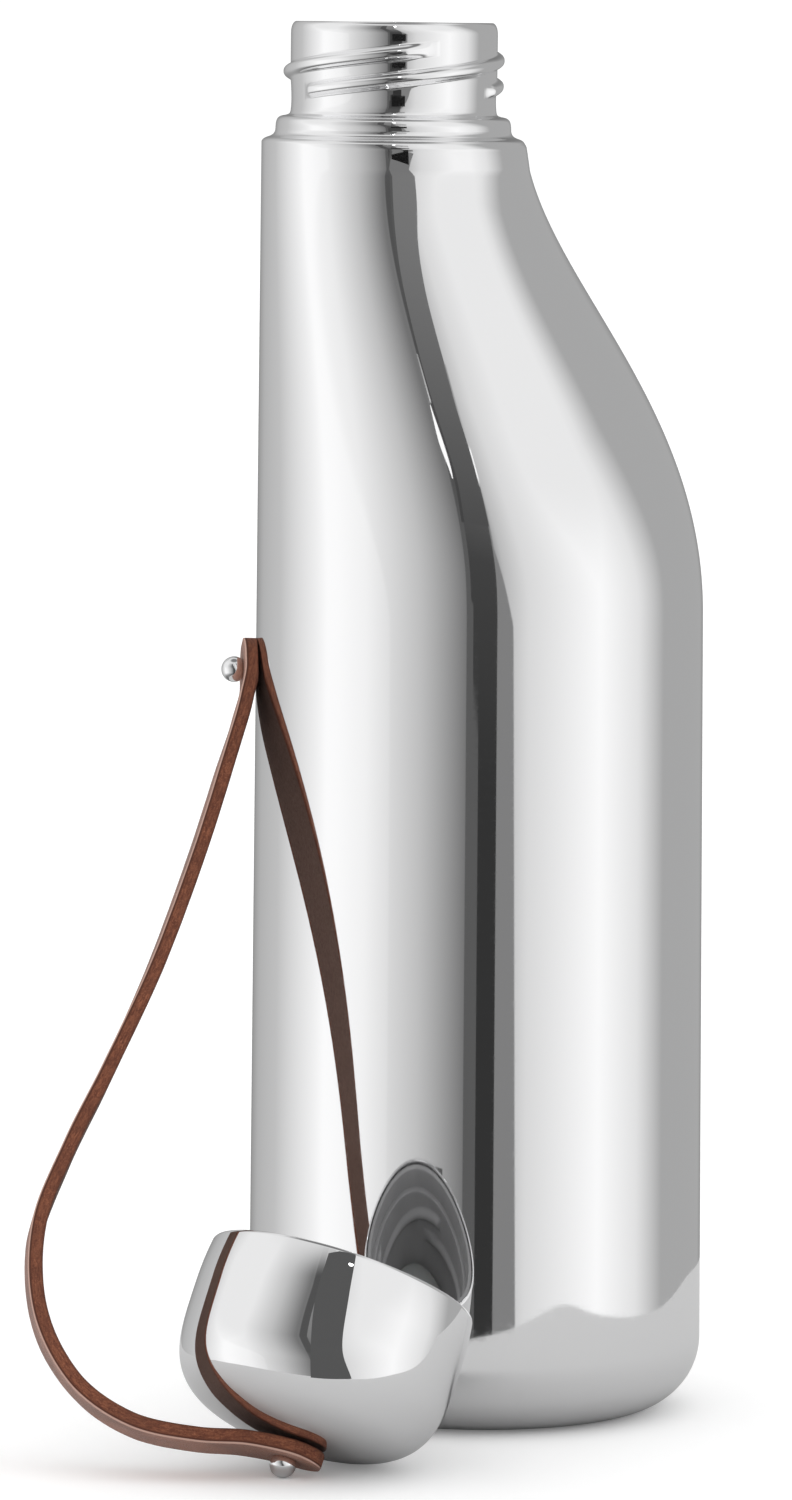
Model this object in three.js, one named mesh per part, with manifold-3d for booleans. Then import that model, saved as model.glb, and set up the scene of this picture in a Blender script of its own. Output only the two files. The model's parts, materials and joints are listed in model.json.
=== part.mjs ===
// A double-walled steel drinking flask with a domed screw cap on a leather strap.
// Millimetres, +Z up. The origin is the centre of the round base, on the surface it
// stands on. One side of the body is straight, at -X, and the other swells towards +X.
// The cap is off: it hangs by the strap and lies on the same surface, mouth upwards.

import * as THREE from 'three';
import { mergeVertices } from 'three/addons/utils/BufferGeometryUtils.js';
import Module from 'manifold-3d';

// ---------------------------------------------------------------- driving dimensions

const BODY_RADIUS = 36;          // at TAPER_HEIGHT, half the width of the body
const TAPER = 0.0052;            // radius lost per millimetre of height
const TAPER_HEIGHT = 60;
const BASE_FILLET = 11.5;        // rounding between the wall and the base
const SHELL_WALL = 0.6;          // sheet thickness of the outer shell
const LINER_WALL = 0.5;          // sheet thickness of the inner vessel
const WALL_SPACE = 3.9;          // outer face of the shell to outer face of the liner

const SHOULDER_START = 128;      // the straight body ends and the shoulder curve starts
const SHOULDER_TOP = 202.9;
const SHOULDER_RADIUS = 20.9;    // of the flat top of the shell
const SHOULDER_EDGE = 0.8;       // rounding of that flat top's edge

const COVER_RADIUS = 22.6;       // disc pressed into the base
const COVER_THICKNESS = 0.8;
const BASE_OPENING = 23;         // hole in the shell's base, closed by that disc
const LINER_FLOOR = 12;          // height of the liner's lowest edge

const COLLAR_RADIUS = 18.5;      // step ring under the thread
const COLLAR_TOP = 206.4;
const COLLAR_FOOT = 201.9;       // it sits in the shell's top hole, just below the flat
const NECK_RADIUS = 16.4;
const NECK_BORE = 15.5;          // inside of the threaded neck, around the liner
const NECK_FOOT = 198;           // the neck reaches down inside the shell to here
const RIM_HEIGHT = 221.3;
const LINER_NECK_RADIUS = 15.2;  // outside of the liner where it lines the neck

const THREAD_STARTS = 3;
const THREAD_SPAN = 200;         // degrees that each start runs round the neck
const THREAD_RISE = 6.9;         // millimetres that it climbs in that span
const THREAD_LOW = 210.4;        // height of each start's lower end
const THREAD_SIZE = 0.9;         // half the width of the rounded ridge
const THREAD_PHASE = 90;         // direction of the first start's lower end, from +X

const CAP_RIM_RADIUS = 20.9;
const CAP_RADIUS = 21.43;
const CAP_WIDEST = 7;            // from the rim to the widest point
const CAP_HEIGHT = 26.66;        // from the rim to the top of the dome
const CAP_ROUND_OUT = 2.66;      // exponents of the dome's superellipse
const CAP_ROUND_UP = 4;
const CAP_WALL = 0.6;
const CAP_STUD_HOLE = 1.5;
const CAP_BORE = 17.8;           // inside of the threaded insert
const CAP_BORE_DEPTH = 20;
const CAP_COUNTERBORE = 19;      // wider mouth that clears the step ring
const CAP_COUNTERBORE_DEPTH = 4.4;
const CAP_TILT = 27.8;           // degrees between the cap's axis and straight down
const CAP_HEADING = 46.4;        // degrees from -X towards -Y that the dome points

const STRAP_WIDTH = 10;
const STRAP_THICKNESS = 2.3;
const STRAP_HOLE = 1.95;         // radius of the hole at each stud
const STRAP_TAIL = 5;            // leather above the centre of the upper hole
const STRAP_LEAN = 29.75;        // degrees that the strap swings forward, to the cap
const STUD_HEIGHT = 118.3;       // of the stud on the body
const BALL_RADIUS = 2.05;
const BALL_STANDOFF = 1;         // ball centre above the strap's outer face
const SHANK_RADIUS = 1.1;
const GAP = 0.3;                 // between pieces that touch

// The strap's middle line: millimetres along X, millimetres down the plane that leans
// forward from the body stud, and degrees of twist of the leather about the line.
const STRAP_ROUTE = [
  [-37.4, -STRAP_TAIL, 2.2],
  [-37.4, 0, 2.2],
  [-37.5, 2.6, 2.6],
  [-38.5, 7.7, 4.3],
  [-41.05, 16, 6],
  [-46.4, 33, 7],
  [-53.7, 53, 7.5],
  [-61.3, 70, 6.5],
  [-67.6, 83.3, 5],
  [-72.4, 96.7, 3],
  [-71.7, 111, -3],
  [-66, 121.6, -9],
  [-58, 127.4, -10],
  [-48.5, 129.7, -9.5],
  [-41, 130.3, -8.5],
  [-34.5, 131.7, -8.3],
  [-29.1, 133.6, -8.3],
];
const FLEX_DISTANCE = 12.5;      // along the strap from its upper tip to the flex line

// ---------------------------------------------------------------- materials

function steel(color, roughness) {
  return new THREE.MeshStandardMaterial({ color, roughness, metalness: 1 });
}

function plastic(color, roughness) {
  return new THREE.MeshStandardMaterial({ color, roughness, metalness: 0 });
}

const MIRROR = 0xd2d4d6;
const SATIN = 0xb4b6b8;
const LEATHER = 0x8a4c34;

// ---------------------------------------------------------------- helpers

const wasm = await Module();
wasm.setup();

function toSolid(geometry) {
  const bare = geometry.clone();
  bare.deleteAttribute('normal');
  bare.deleteAttribute('uv');
  const merged = mergeVertices(bare, 1e-4);
  return new wasm.Manifold(new wasm.Mesh({
    numProp: 3,
    vertProperties: new Float32Array(merged.attributes.position.array),
    triVerts: new Uint32Array(merged.index.array),
  }));
}

function toGeometry(solid) {
  const { vertProperties, triVerts } = solid.getMesh();
  const geometry = new THREE.BufferGeometry();
  geometry.setAttribute('position', new THREE.BufferAttribute(vertProperties, 3));
  geometry.setIndex(new THREE.BufferAttribute(triVerts, 1));
  geometry.computeVertexNormals();
  return geometry;
}

function join(...geometries) {
  return toGeometry(geometries.map(toSolid).reduce((whole, piece) => whole.add(piece)));
}

function cut(geometry, ...tools) {
  return toGeometry(tools.map(toSolid).reduce((rest, tool) => rest.subtract(tool), toSolid(geometry)));
}

function named(name, geometry, material) {
  const mesh = new THREE.Mesh(geometry, material);
  mesh.name = name;
  return mesh;
}

// Moves every point of a geometry to where place(point) puts it.
function reshape(geometry, place) {
  const position = geometry.attributes.position;
  const point = new THREE.Vector3();
  for (let i = 0; i < position.count; i += 1) {
    point.fromBufferAttribute(position, i);
    place(point);
    position.setXYZ(i, point.x, point.y, point.z);
  }
  geometry.computeVertexNormals();
  return geometry;
}

// A lathe about Z from a list of [radius, height, centre], where centre moves that
// ring along X, so that the piece can lean. A closed profile repeats its first ring.
function turned(rings, segments, closed = true) {
  const profile = closed ? [...rings, rings[0]] : rings;
  const points = profile.map(([radius, height]) => new THREE.Vector2(radius, height));
  const geometry = new THREE.LatheGeometry(points, segments);
  const position = geometry.attributes.position;
  for (let i = 0; i < position.count; i += 1) {
    const centre = profile[i % profile.length][2] ?? 0;
    const [x, y, z] = [position.getX(i), position.getY(i), position.getZ(i)];
    position.setXYZ(i, x + centre, -z, y);
  }
  geometry.computeVertexNormals();
  return geometry;
}

// Points of a quarter round from one angle to another, in degrees.
function arc(radius, height, size, from, to, steps) {
  return Array.from({ length: steps + 1 }, (_, i) => {
    const angle = THREE.MathUtils.degToRad(from + (to - from) * i / steps);
    return [radius + size * Math.cos(angle), height + size * Math.sin(angle)];
  });
}

function centred(points, centre) {
  return points.map(([radius, height]) => [radius, height, centre]);
}

// ---------------------------------------------------------------- the body's outline

function straightRadius(height) {
  return BODY_RADIUS + TAPER * (TAPER_HEIGHT - height);
}

const shoulderCurve = new THREE.CubicBezierCurve(
  new THREE.Vector2(straightRadius(SHOULDER_START), SHOULDER_START),
  new THREE.Vector2(35.47, 162.6),
  new THREE.Vector2(21.8, 182.2),
  new THREE.Vector2(SHOULDER_RADIUS, SHOULDER_TOP),
);

// Outer radius of the body at a height, above the base's rounding.
function bodyRadius(height) {
  if (height <= SHOULDER_START) {
    return straightRadius(height);
  }
  let [low, high] = [0, 1];
  for (let i = 0; i < 30; i += 1) {
    const middle = (low + high) / 2;
    if (shoulderCurve.getPoint(middle).y < height) {
      low = middle;
    } else {
      high = middle;
    }
  }
  return shoulderCurve.getPoint(low).x;
}

// Every section's circle touches the straight side, so its centre moves with its radius.
function bodyCentre(height) {
  return bodyRadius(height) - BODY_RADIUS;
}

function wallRing(height, inset) {
  return [bodyRadius(height) - inset, height, bodyCentre(height)];
}

const NECK_CENTRE = bodyCentre(SHOULDER_TOP);
const BASE_CENTRE = bodyCentre(BASE_FILLET);
const SHOULDER_HEIGHTS = [128, 140, 150, 159, 168, 177, 186, 195];

// ---------------------------------------------------------------- body pieces

function outerShell() {
  const baseRadius = bodyRadius(BASE_FILLET) - BASE_FILLET;
  const outer = [
    ...centred(arc(baseRadius, BASE_FILLET, BASE_FILLET, -90, 0, 5), BASE_CENTRE),
    wallRing(60, 0),
    ...SHOULDER_HEIGHTS.map((height) => wallRing(height, 0)),
    ...centred(arc(SHOULDER_RADIUS - SHOULDER_EDGE, SHOULDER_TOP - SHOULDER_EDGE,
      SHOULDER_EDGE, 0, 90, 3), NECK_CENTRE),
    [COLLAR_RADIUS + GAP, SHOULDER_TOP, NECK_CENTRE],
  ];
  const inner = [
    [COLLAR_RADIUS + GAP, SHOULDER_TOP - SHELL_WALL, NECK_CENTRE],
    [SHOULDER_RADIUS - SHELL_WALL - SHOULDER_EDGE / 2, SHOULDER_TOP - SHELL_WALL, NECK_CENTRE],
    ...SHOULDER_HEIGHTS.toReversed().map((height) => wallRing(height, SHELL_WALL)),
    wallRing(60, SHELL_WALL),
    ...centred(arc(baseRadius, BASE_FILLET, BASE_FILLET - SHELL_WALL, 0, -90, 5), BASE_CENTRE),
    [BASE_OPENING, SHELL_WALL, 0],
    [BASE_OPENING, 0, 0],
  ];
  return named('outer_shell', turned([...outer, ...inner], 44), steel(MIRROR, 0.04));
}

function baseCover() {
  const rings = [
    [0, 0],
    [COVER_RADIUS - 0.3, 0],
    [COVER_RADIUS, 0.3],
    [COVER_RADIUS, COVER_THICKNESS],
    [0, COVER_THICKNESS],
  ];
  return named('base_cover', turned(rings, 36, false), steel(MIRROR, 0.08));
}

// The dished bottom of the outer vacuum wall, with a dimple where it was sealed.
function basePan() {
  const rings = [
    [0, 4.2],
    [4, 4.2],
    [8, 5.6],
    [28, 5.6],
    [32.6, 8],
    [34.2, 13],
    [33.7, 13],
    [32, 8.6],
    [27.8, 6.2],
    [7.8, 6.2],
    [3.8, 4.8],
    [0, 4.8],
  ];
  return named('base_pan', turned(centred(rings, BASE_CENTRE), 32, false), steel(SATIN, 0.35));
}

function vacuumSeal() {
  const seal = new THREE.SphereGeometry(2.4, 12, 6);
  seal.scale(1, 1, 0.45);
  const mesh = named('vacuum_seal', seal, steel(0x9a9da0, 0.5));
  mesh.position.set(BASE_CENTRE, 0, 2.8);
  return mesh;
}

function getter() {
  const capsule = new THREE.CylinderGeometry(3.5, 3.5, 2, 24);
  capsule.rotateX(Math.PI / 2);
  const mesh = named('getter', capsule, steel(0x8e9092, 0.6));
  mesh.position.set(18, 0, 7.6);
  return mesh;
}

// The inner vessel's wall, from its floor up through the neck to the rim.
function innerLiner() {
  const heights = [LINER_FLOOR + 4, 60, 128, 142, 155, 168, 181];
  const inside = LINER_NECK_RADIUS - LINER_WALL;
  const outer = [
    ...heights.map((height) => wallRing(height, WALL_SPACE)),
    [16.2, 193, NECK_CENTRE],
    [LINER_NECK_RADIUS, 198, NECK_CENTRE],
    [LINER_NECK_RADIUS, RIM_HEIGHT - 0.3, NECK_CENTRE],
  ];
  const inner = [
    [inside, RIM_HEIGHT - 0.3, NECK_CENTRE],
    [inside, 198, NECK_CENTRE],
    [15.7, 193, NECK_CENTRE],
    ...heights.toReversed().map((height) => wallRing(height, WALL_SPACE + LINER_WALL)),
  ];
  return named('inner_liner', turned([...outer, ...inner], 36), steel(SATIN, 0.3));
}

function linerBase() {
  const radius = bodyRadius(LINER_FLOOR) - WALL_SPACE;
  const floor = LINER_FLOOR - 1.2;
  const rings = [
    [0, floor + 1.4],
    [radius * 0.55, floor],
    [radius - 4, floor],
    [radius, LINER_FLOOR + 2.4],
    [radius, LINER_FLOOR + 3.6],
    [radius - LINER_WALL, LINER_FLOOR + 3.6],
    [radius - LINER_WALL, LINER_FLOOR + 2.8],
    [radius - 4, floor + LINER_WALL],
    [radius * 0.55, floor + LINER_WALL],
    [0, floor + 1.4 + LINER_WALL],
  ];
  return named('liner_base', turned(centred(rings, BASE_CENTRE), 36, false), steel(SATIN, 0.3));
}

// One rounded helical ridge that fades into its wall at both ends. It stands out of a
// wall of the given radius, outwards for direction 1 and inwards for -1.
function ridge({ wall, direction, startAngle, span, low, rise, size, steps }) {
  const [sides, fade] = [6, 0.1];
  const rod = new THREE.CylinderGeometry(1, 1, 1, sides, steps);
  return reshape(rod, (point) => {
    const along = point.y + 0.5;
    const ends = Math.min(along, 1 - along) / fade;
    const scale = size * Math.sqrt(Math.min(1, 0.03 + ends));
    const angle = THREE.MathUtils.degToRad(startAngle + span * along);
    const radius = wall + direction * (size - 0.75) + scale * point.x;
    const height = low + rise * along + scale * point.z * direction;
    point.set(radius * Math.cos(angle), radius * Math.sin(angle), height);
  });
}

function threadedNeck() {
  const rings = [
    [NECK_BORE, NECK_FOOT],
    [NECK_RADIUS + 0.3, NECK_FOOT],
    [NECK_RADIUS + 0.3, COLLAR_FOOT],
    [COLLAR_RADIUS, COLLAR_FOOT],
    ...arc(COLLAR_RADIUS - 0.4, COLLAR_TOP - 0.4, 0.4, 0, 90, 2),
    [NECK_RADIUS, COLLAR_TOP],
    ...arc(NECK_RADIUS - 0.4, RIM_HEIGHT - 0.4, 0.4, 0, 90, 2),
    [NECK_BORE + 0.1, RIM_HEIGHT],
    [NECK_BORE, RIM_HEIGHT - 0.1],
  ];
  const starts = Array.from({ length: THREAD_STARTS }, (_, i) => ridge({
    wall: NECK_RADIUS,
    direction: 1,
    startAngle: THREAD_PHASE + i * 360 / THREAD_STARTS,
    span: THREAD_SPAN,
    low: THREAD_LOW,
    rise: THREAD_RISE,
    size: THREAD_SIZE,
    steps: 18,
  }));
  const neck = join(turned(rings, 44), ...starts);
  neck.translate(NECK_CENTRE, 0, 0);
  return named('threaded_neck', neck, steel(MIRROR, 0.06));
}

// A ball-headed stud along +Z: its foot is at height 0 and the ball is on top.
function studGeometry(foot, footRadius, ballHeight) {
  const neckAngle = -60;
  const rings = [
    [0, -foot],
    [footRadius, -foot],
    [footRadius, 0],
    [SHANK_RADIUS, 0],
    ...arc(0, ballHeight, BALL_RADIUS, neckAngle, 75, 7),
    [0, ballHeight + BALL_RADIUS],
  ];
  return turned(rings, 16, false);
}

function bodyStud() {
  const foot = 0.4;
  const surface = -BODY_RADIUS - GAP - foot;
  const ballCentre = STRAP_ROUTE[1][0] - STRAP_THICKNESS / 2 - BALL_STANDOFF;
  const geometry = studGeometry(foot, 1.5, surface - ballCentre);
  geometry.rotateY(-Math.PI / 2);
  const mesh = named('body_stud', geometry, steel(MIRROR, 0.05));
  mesh.position.set(surface, 0, STUD_HEIGHT);
  return mesh;
}

// ---------------------------------------------------------------- the strap

const lean = THREE.MathUtils.degToRad(STRAP_LEAN);
const DOWN = new THREE.Vector3(0, -Math.sin(lean), -Math.cos(lean));
const ACROSS = new THREE.Vector3(0, Math.cos(lean), -Math.sin(lean));

function routePoint([across, down]) {
  return new THREE.Vector3(across, 0, STUD_HEIGHT).addScaledVector(DOWN, down);
}

const strapLine = new THREE.CatmullRomCurve3(STRAP_ROUTE.map(routePoint), false, 'centripetal');
strapLine.arcLengthDivisions = 800;
const STRAP_LENGTH = strapLine.getLength();

// The strap's point, outer normal and width direction at a distance from its upper tip.
function strapFrame(distance) {
  const along = THREE.MathUtils.clamp(distance / STRAP_LENGTH, 0, 1);
  const place = strapLine.getUtoTmapping(along) * (STRAP_ROUTE.length - 1);
  const index = Math.min(Math.floor(place), STRAP_ROUTE.length - 2);
  const twist = THREE.MathUtils.lerp(STRAP_ROUTE[index][2], STRAP_ROUTE[index + 1][2], place - index);
  const tangent = strapLine.getTangentAt(along);
  const width = ACROSS.clone().addScaledVector(tangent, -ACROSS.dot(tangent)).normalize();
  width.applyAxisAngle(tangent, THREE.MathUtils.degToRad(-twist));
  const normal = new THREE.Vector3().crossVectors(width, tangent).normalize();
  return { point: strapLine.getPointAt(along), tangent, width, normal };
}

// A stretch of the flat strap, bent along its line, with its true round ends.
function strapStretch(from, to, steps) {
  const flat = new THREE.BoxGeometry(STRAP_WIDTH, STRAP_THICKNESS, to - from, 1, 1, steps);
  return reshape(flat, (point) => {
    const distance = (from + to) / 2 + point.z;
    const toTip = Math.min(distance, STRAP_LENGTH - distance);
    const short = Math.max(0, STRAP_WIDTH / 2 - toTip) / (STRAP_WIDTH / 2);
    const halfWidth = Math.sqrt(Math.max(0.02, 1 - short * short));
    const frame = strapFrame(distance);
    const [side, depth] = [-point.x * halfWidth, point.y];
    point.copy(frame.point).addScaledVector(frame.width, side).addScaledVector(frame.normal, depth);
  });
}

// A rod along a stud's axis, to cut the hole that the stud goes through.
function holeTool(centre, axis) {
  const rod = new THREE.CylinderGeometry(STRAP_HOLE, STRAP_HOLE, 4 * STRAP_THICKNESS, 24);
  rod.applyQuaternion(new THREE.Quaternion().setFromUnitVectors(new THREE.Vector3(0, 1, 0), axis));
  rod.translate(centre.x, centre.y, centre.z);
  return rod;
}

const capTilt = THREE.MathUtils.degToRad(CAP_TILT);
const capHeading = THREE.MathUtils.degToRad(CAP_HEADING);
const CAP_AXIS = new THREE.Vector3(
  -Math.sin(capTilt) * Math.cos(capHeading),
  -Math.sin(capTilt) * Math.sin(capHeading),
  -Math.cos(capTilt),
);
const CAP_STUD_POINT = routePoint(STRAP_ROUTE[STRAP_ROUTE.length - 2]);

function strap() {
  const leather = plastic(LEATHER, 0.6);
  const bodyHole = holeTool(routePoint(STRAP_ROUTE[1]), new THREE.Vector3(1, 0, 0));
  const tab = cut(strapStretch(0, FLEX_DISTANCE - GAP / 2, 8), bodyHole);
  const capHole = holeTool(CAP_STUD_POINT, CAP_AXIS);
  const loop = cut(strapStretch(FLEX_DISTANCE + GAP / 2, STRAP_LENGTH, 56), capHole);
  return [named('strap_tab', tab, leather), named('strap_loop', loop, leather.clone())];
}

// ---------------------------------------------------------------- the cap
// The cap's own frame has its rim at height 0 and its dome towards +Z.

function capRadius(height) {
  if (height < CAP_WIDEST) {
    const below = (CAP_WIDEST - height) / CAP_WIDEST;
    return CAP_RADIUS - (CAP_RADIUS - CAP_RIM_RADIUS) * below * below;
  }
  const up = (height - CAP_WIDEST) / (CAP_HEIGHT - CAP_WIDEST);
  return CAP_RADIUS * (1 - up ** CAP_ROUND_UP) ** (1 / CAP_ROUND_OUT);
}

// Height of the dome's outer face at a radius near its top.
function domeHeight(radius) {
  const inward = 1 - (radius / CAP_RADIUS) ** CAP_ROUND_OUT;
  return CAP_WIDEST + (CAP_HEIGHT - CAP_WIDEST) * inward ** (1 / CAP_ROUND_UP);
}

function capShell() {
  const heights = [0.3, 3.5, CAP_WIDEST, 14, 18, 21, 23.2, 24.6];
  const radii = [12, 7, CAP_STUD_HOLE];
  const outer = [
    [CAP_RIM_RADIUS - 0.25, 0],
    ...heights.map((height) => [capRadius(height), height]),
    ...radii.map((radius) => [radius, domeHeight(radius)]),
  ];
  const inner = [
    ...radii.toReversed().map((radius) => [radius, domeHeight(radius) - CAP_WALL]),
    ...heights.slice(1).toReversed().map((height) => [
      capRadius(height) - CAP_WALL * (height > 20 ? 1.3 : 1),
      height - (height > 20 ? 0.35 : 0),
    ]),
    [CAP_RIM_RADIUS - CAP_WALL, 0.3],
  ];
  return named('cap_shell', turned([...outer, ...inner], 40), steel(MIRROR, 0.04));
}

// The moulded insert that carries the cap's own three-start thread.
function capLiner() {
  const clearance = CAP_WALL + GAP;
  const rings = [
    [0, CAP_BORE_DEPTH],
    [CAP_BORE, CAP_BORE_DEPTH],
    [CAP_BORE, CAP_COUNTERBORE_DEPTH],
    [CAP_COUNTERBORE, CAP_COUNTERBORE_DEPTH],
    [CAP_COUNTERBORE, 0.8],
    [capRadius(0.8) - clearance, 0.8],
    [capRadius(CAP_WIDEST) - clearance, CAP_WIDEST],
    [capRadius(14) - clearance - 0.1, 14],
    [capRadius(19) - clearance - 0.5, 19],
    [capRadius(21.4) - clearance - 1, 21.4],
    [0, 21.4],
  ];
  const starts = Array.from({ length: THREAD_STARTS }, (_, i) => ridge({
    wall: CAP_BORE,
    direction: -1,
    startAngle: i * 360 / THREAD_STARTS,
    span: 150,
    low: 7.5,
    rise: THREAD_RISE * 150 / THREAD_SPAN,
    size: THREAD_SIZE,
    steps: 10,
  }));
  return named('cap_liner', join(turned(rings, 30, false), ...starts), plastic(0x2a2b2d, 0.45));
}

// The soft ring that closes on the flask's rim.
function capSeal() {
  const rings = [
    [12.6, 18.3],
    [17.2, 18.3],
    [17.2, CAP_BORE_DEPTH - GAP],
    [12.6, CAP_BORE_DEPTH - GAP],
  ];
  return named('cap_seal', turned(rings, 32), plastic(0xd9d6cf, 0.7));
}

function capInsulation() {
  const rings = [
    [5, 21.8],
    [15.4, 21.8],
    [14.2, 23.2],
    [11, 24.4],
    [5, 24.9],
  ];
  return named('cap_insulation', turned(rings, 24), plastic(0xefece4, 0.95));
}

function capStudWasher() {
  const top = CAP_HEIGHT - CAP_WALL - GAP;
  const rings = [
    [1.45, top - 0.5],
    [3.4, top - 0.5],
    [3.4, top],
    [1.45, top],
  ];
  return named('cap_stud_washer', turned(rings, 16), steel(SATIN, 0.3));
}

function capStudNut() {
  const hexagon = new THREE.Shape();
  for (let i = 0; i < 6; i += 1) {
    const angle = i * Math.PI / 3;
    const [x, y] = [3.1 * Math.cos(angle), 3.1 * Math.sin(angle)];
    if (i === 0) {
      hexagon.moveTo(x, y);
    } else {
      hexagon.lineTo(x, y);
    }
  }
  hexagon.closePath();
  hexagon.holes.push(new THREE.Path().absarc(0, 0, 1.45, 0, 2 * Math.PI, true));
  const nut = new THREE.ExtrudeGeometry(hexagon, { depth: 1.6, bevelEnabled: false, curveSegments: 8 });
  nut.translate(0, 0, 23.1);
  return named('cap_stud_nut', nut, steel(SATIN, 0.3));
}

function capStud() {
  const ballHeight = CAP_HEIGHT + GAP + STRAP_THICKNESS + BALL_STANDOFF;
  const shankFoot = 22.6;
  const geometry = studGeometry(0.1, SHANK_RADIUS + 0.01, ballHeight - shankFoot);
  geometry.translate(0, 0, shankFoot);
  return named('cap_stud', geometry, steel(MIRROR, 0.05));
}

function cap() {
  const group = new THREE.Group();
  group.add(capShell(), capLiner(), capSeal(), capInsulation());
  group.add(capStud(), capStudWasher(), capStudNut());
  group.quaternion.setFromUnitVectors(new THREE.Vector3(0, 0, 1), CAP_AXIS);
  const rimToStrap = CAP_HEIGHT + GAP + STRAP_THICKNESS / 2;
  group.position.copy(CAP_STUD_POINT).addScaledVector(CAP_AXIS, -rimToStrap);
  return group;
}

// ---------------------------------------------------------------- the whole flask

const flask = new THREE.Group();
flask.add(outerShell(), threadedNeck(), innerLiner(), linerBase());
flask.add(basePan(), baseCover(), vacuumSeal(), getter(), bodyStud());
flask.add(...strap(), cap());

export default flask;
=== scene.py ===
import json
import math

import bmesh
import bpy
import numpy as np
from mathutils import Matrix, Vector
from mathutils.kdtree import KDTree


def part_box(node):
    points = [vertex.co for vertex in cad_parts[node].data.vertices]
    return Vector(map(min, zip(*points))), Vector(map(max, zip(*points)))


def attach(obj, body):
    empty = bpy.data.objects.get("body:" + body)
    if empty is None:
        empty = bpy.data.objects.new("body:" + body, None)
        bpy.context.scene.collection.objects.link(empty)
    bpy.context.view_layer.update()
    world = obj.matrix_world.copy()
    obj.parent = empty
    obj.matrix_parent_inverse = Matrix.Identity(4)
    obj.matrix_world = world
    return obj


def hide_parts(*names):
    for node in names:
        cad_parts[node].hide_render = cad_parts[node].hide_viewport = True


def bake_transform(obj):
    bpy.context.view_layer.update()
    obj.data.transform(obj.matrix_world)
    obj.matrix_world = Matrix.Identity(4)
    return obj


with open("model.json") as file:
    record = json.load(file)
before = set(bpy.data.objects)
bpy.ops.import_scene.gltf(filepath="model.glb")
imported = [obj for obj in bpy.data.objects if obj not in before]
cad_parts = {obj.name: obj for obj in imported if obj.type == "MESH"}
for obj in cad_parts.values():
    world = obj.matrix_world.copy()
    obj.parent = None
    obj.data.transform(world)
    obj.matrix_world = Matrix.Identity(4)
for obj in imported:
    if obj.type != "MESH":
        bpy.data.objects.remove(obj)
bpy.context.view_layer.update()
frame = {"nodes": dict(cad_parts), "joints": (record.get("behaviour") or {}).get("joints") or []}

# ------------------------------------------------------------------ sizes, in millimetres
# They are the frame's own sizes. What the frame can tell is read from its boxes.

MM = 0.001


def frame_box(node):
    """The node's lowest and highest corner, in millimetres."""
    low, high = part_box(node)
    return np.array(low) / MM, np.array(high) / MM


SHELL_LOW, SHELL_HIGH = frame_box("outer_shell")
NECK_LOW, NECK_HIGH = frame_box("threaded_neck")
STUD_LOW, STUD_HIGH = frame_box("body_stud")

BODY_RADIUS = -SHELL_LOW[0]
TAPER = 0.0052
TAPER_HEIGHT = 60
BASE_FILLET = 11.5
SHELL_WALL = 0.6
LINER_WALL = 0.5
WALL_SPACE = 3.9
SHOULDER_START = 128
SHOULDER_TOP = SHELL_HIGH[2]
SHOULDER_RADIUS = 20.9
COVER_RADIUS = frame_box("base_cover")[1][0]
COVER_THICKNESS = frame_box("base_cover")[1][2]
BASE_OPENING = 23

NECK_RADIUS = 16.4
NECK_BORE = 15.5
NECK_FOOT = NECK_LOW[2]
RIM_HEIGHT = NECK_HIGH[2]
RIM_EDGE = 0.85
RIM_TALL = 1.8
LINER_NECK_RADIUS = 15.2
THREAD_STARTS = 3
THREAD_SPAN = 200
THREAD_RISE = 6.9
THREAD_LOW = 210.4
THREAD_PHASE = 90
THREAD_PROUD = 1.12
THREAD_HALF_WIDTH = 1.1

CAP_RIM_RADIUS = 20.9
CAP_RADIUS = 21.43
CAP_WIDEST = 7
CAP_HEIGHT = 26.66
CAP_ROUND_OUT = 2.66
CAP_ROUND_UP = 4
CAP_WALL = 0.6
CAP_STUD_HOLE = 1.5
CAP_BORE = 17.8
CAP_BORE_DEPTH = 20
CAP_COUNTERBORE = 19
CAP_COUNTERBORE_DEPTH = 4.4

STRAP_WIDTH = 10
STRAP_THICKNESS = 2.3
STRAP_HOLE = 1.3
STRAP_TAIL = 5
STRAP_LEAN = math.radians(29.75)
STUD_HEIGHT = (STUD_LOW[2] + STUD_HIGH[2]) / 2
BALL_RADIUS = (STUD_HIGH[1] - STUD_LOW[1]) / 2
BALL_STANDOFF = 1
SHANK_RADIUS = 1.1
GAP = 0.3

# Along X, down the leaning plane, and degrees of twist.
STRAP_ROUTE = [
    (-37.4, -STRAP_TAIL, 2.2),
    (-37.4, 0, 2.2),
    (-37.5, 2.6, 2.6),
    (-38.5, 7.7, 4.3),
    (-41.05, 16, 6),
    (-46.4, 33, 7),
    (-53.7, 53, 7.5),
    (-61.3, 70, 6.5),
    (-67.6, 83.3, 5),
    (-72.4, 96.7, 3),
    (-71.7, 111, -3),
    (-66, 121.6, -9),
    (-58, 127.4, -10),
    (-48.5, 129.7, -9.5),
    (-41, 130.3, -8.5),
    (-34.5, 131.7, -8.3),
    (-29.1, 133.6, -8.3),
]


# ------------------------------------------------------------------ shader helpers


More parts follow.
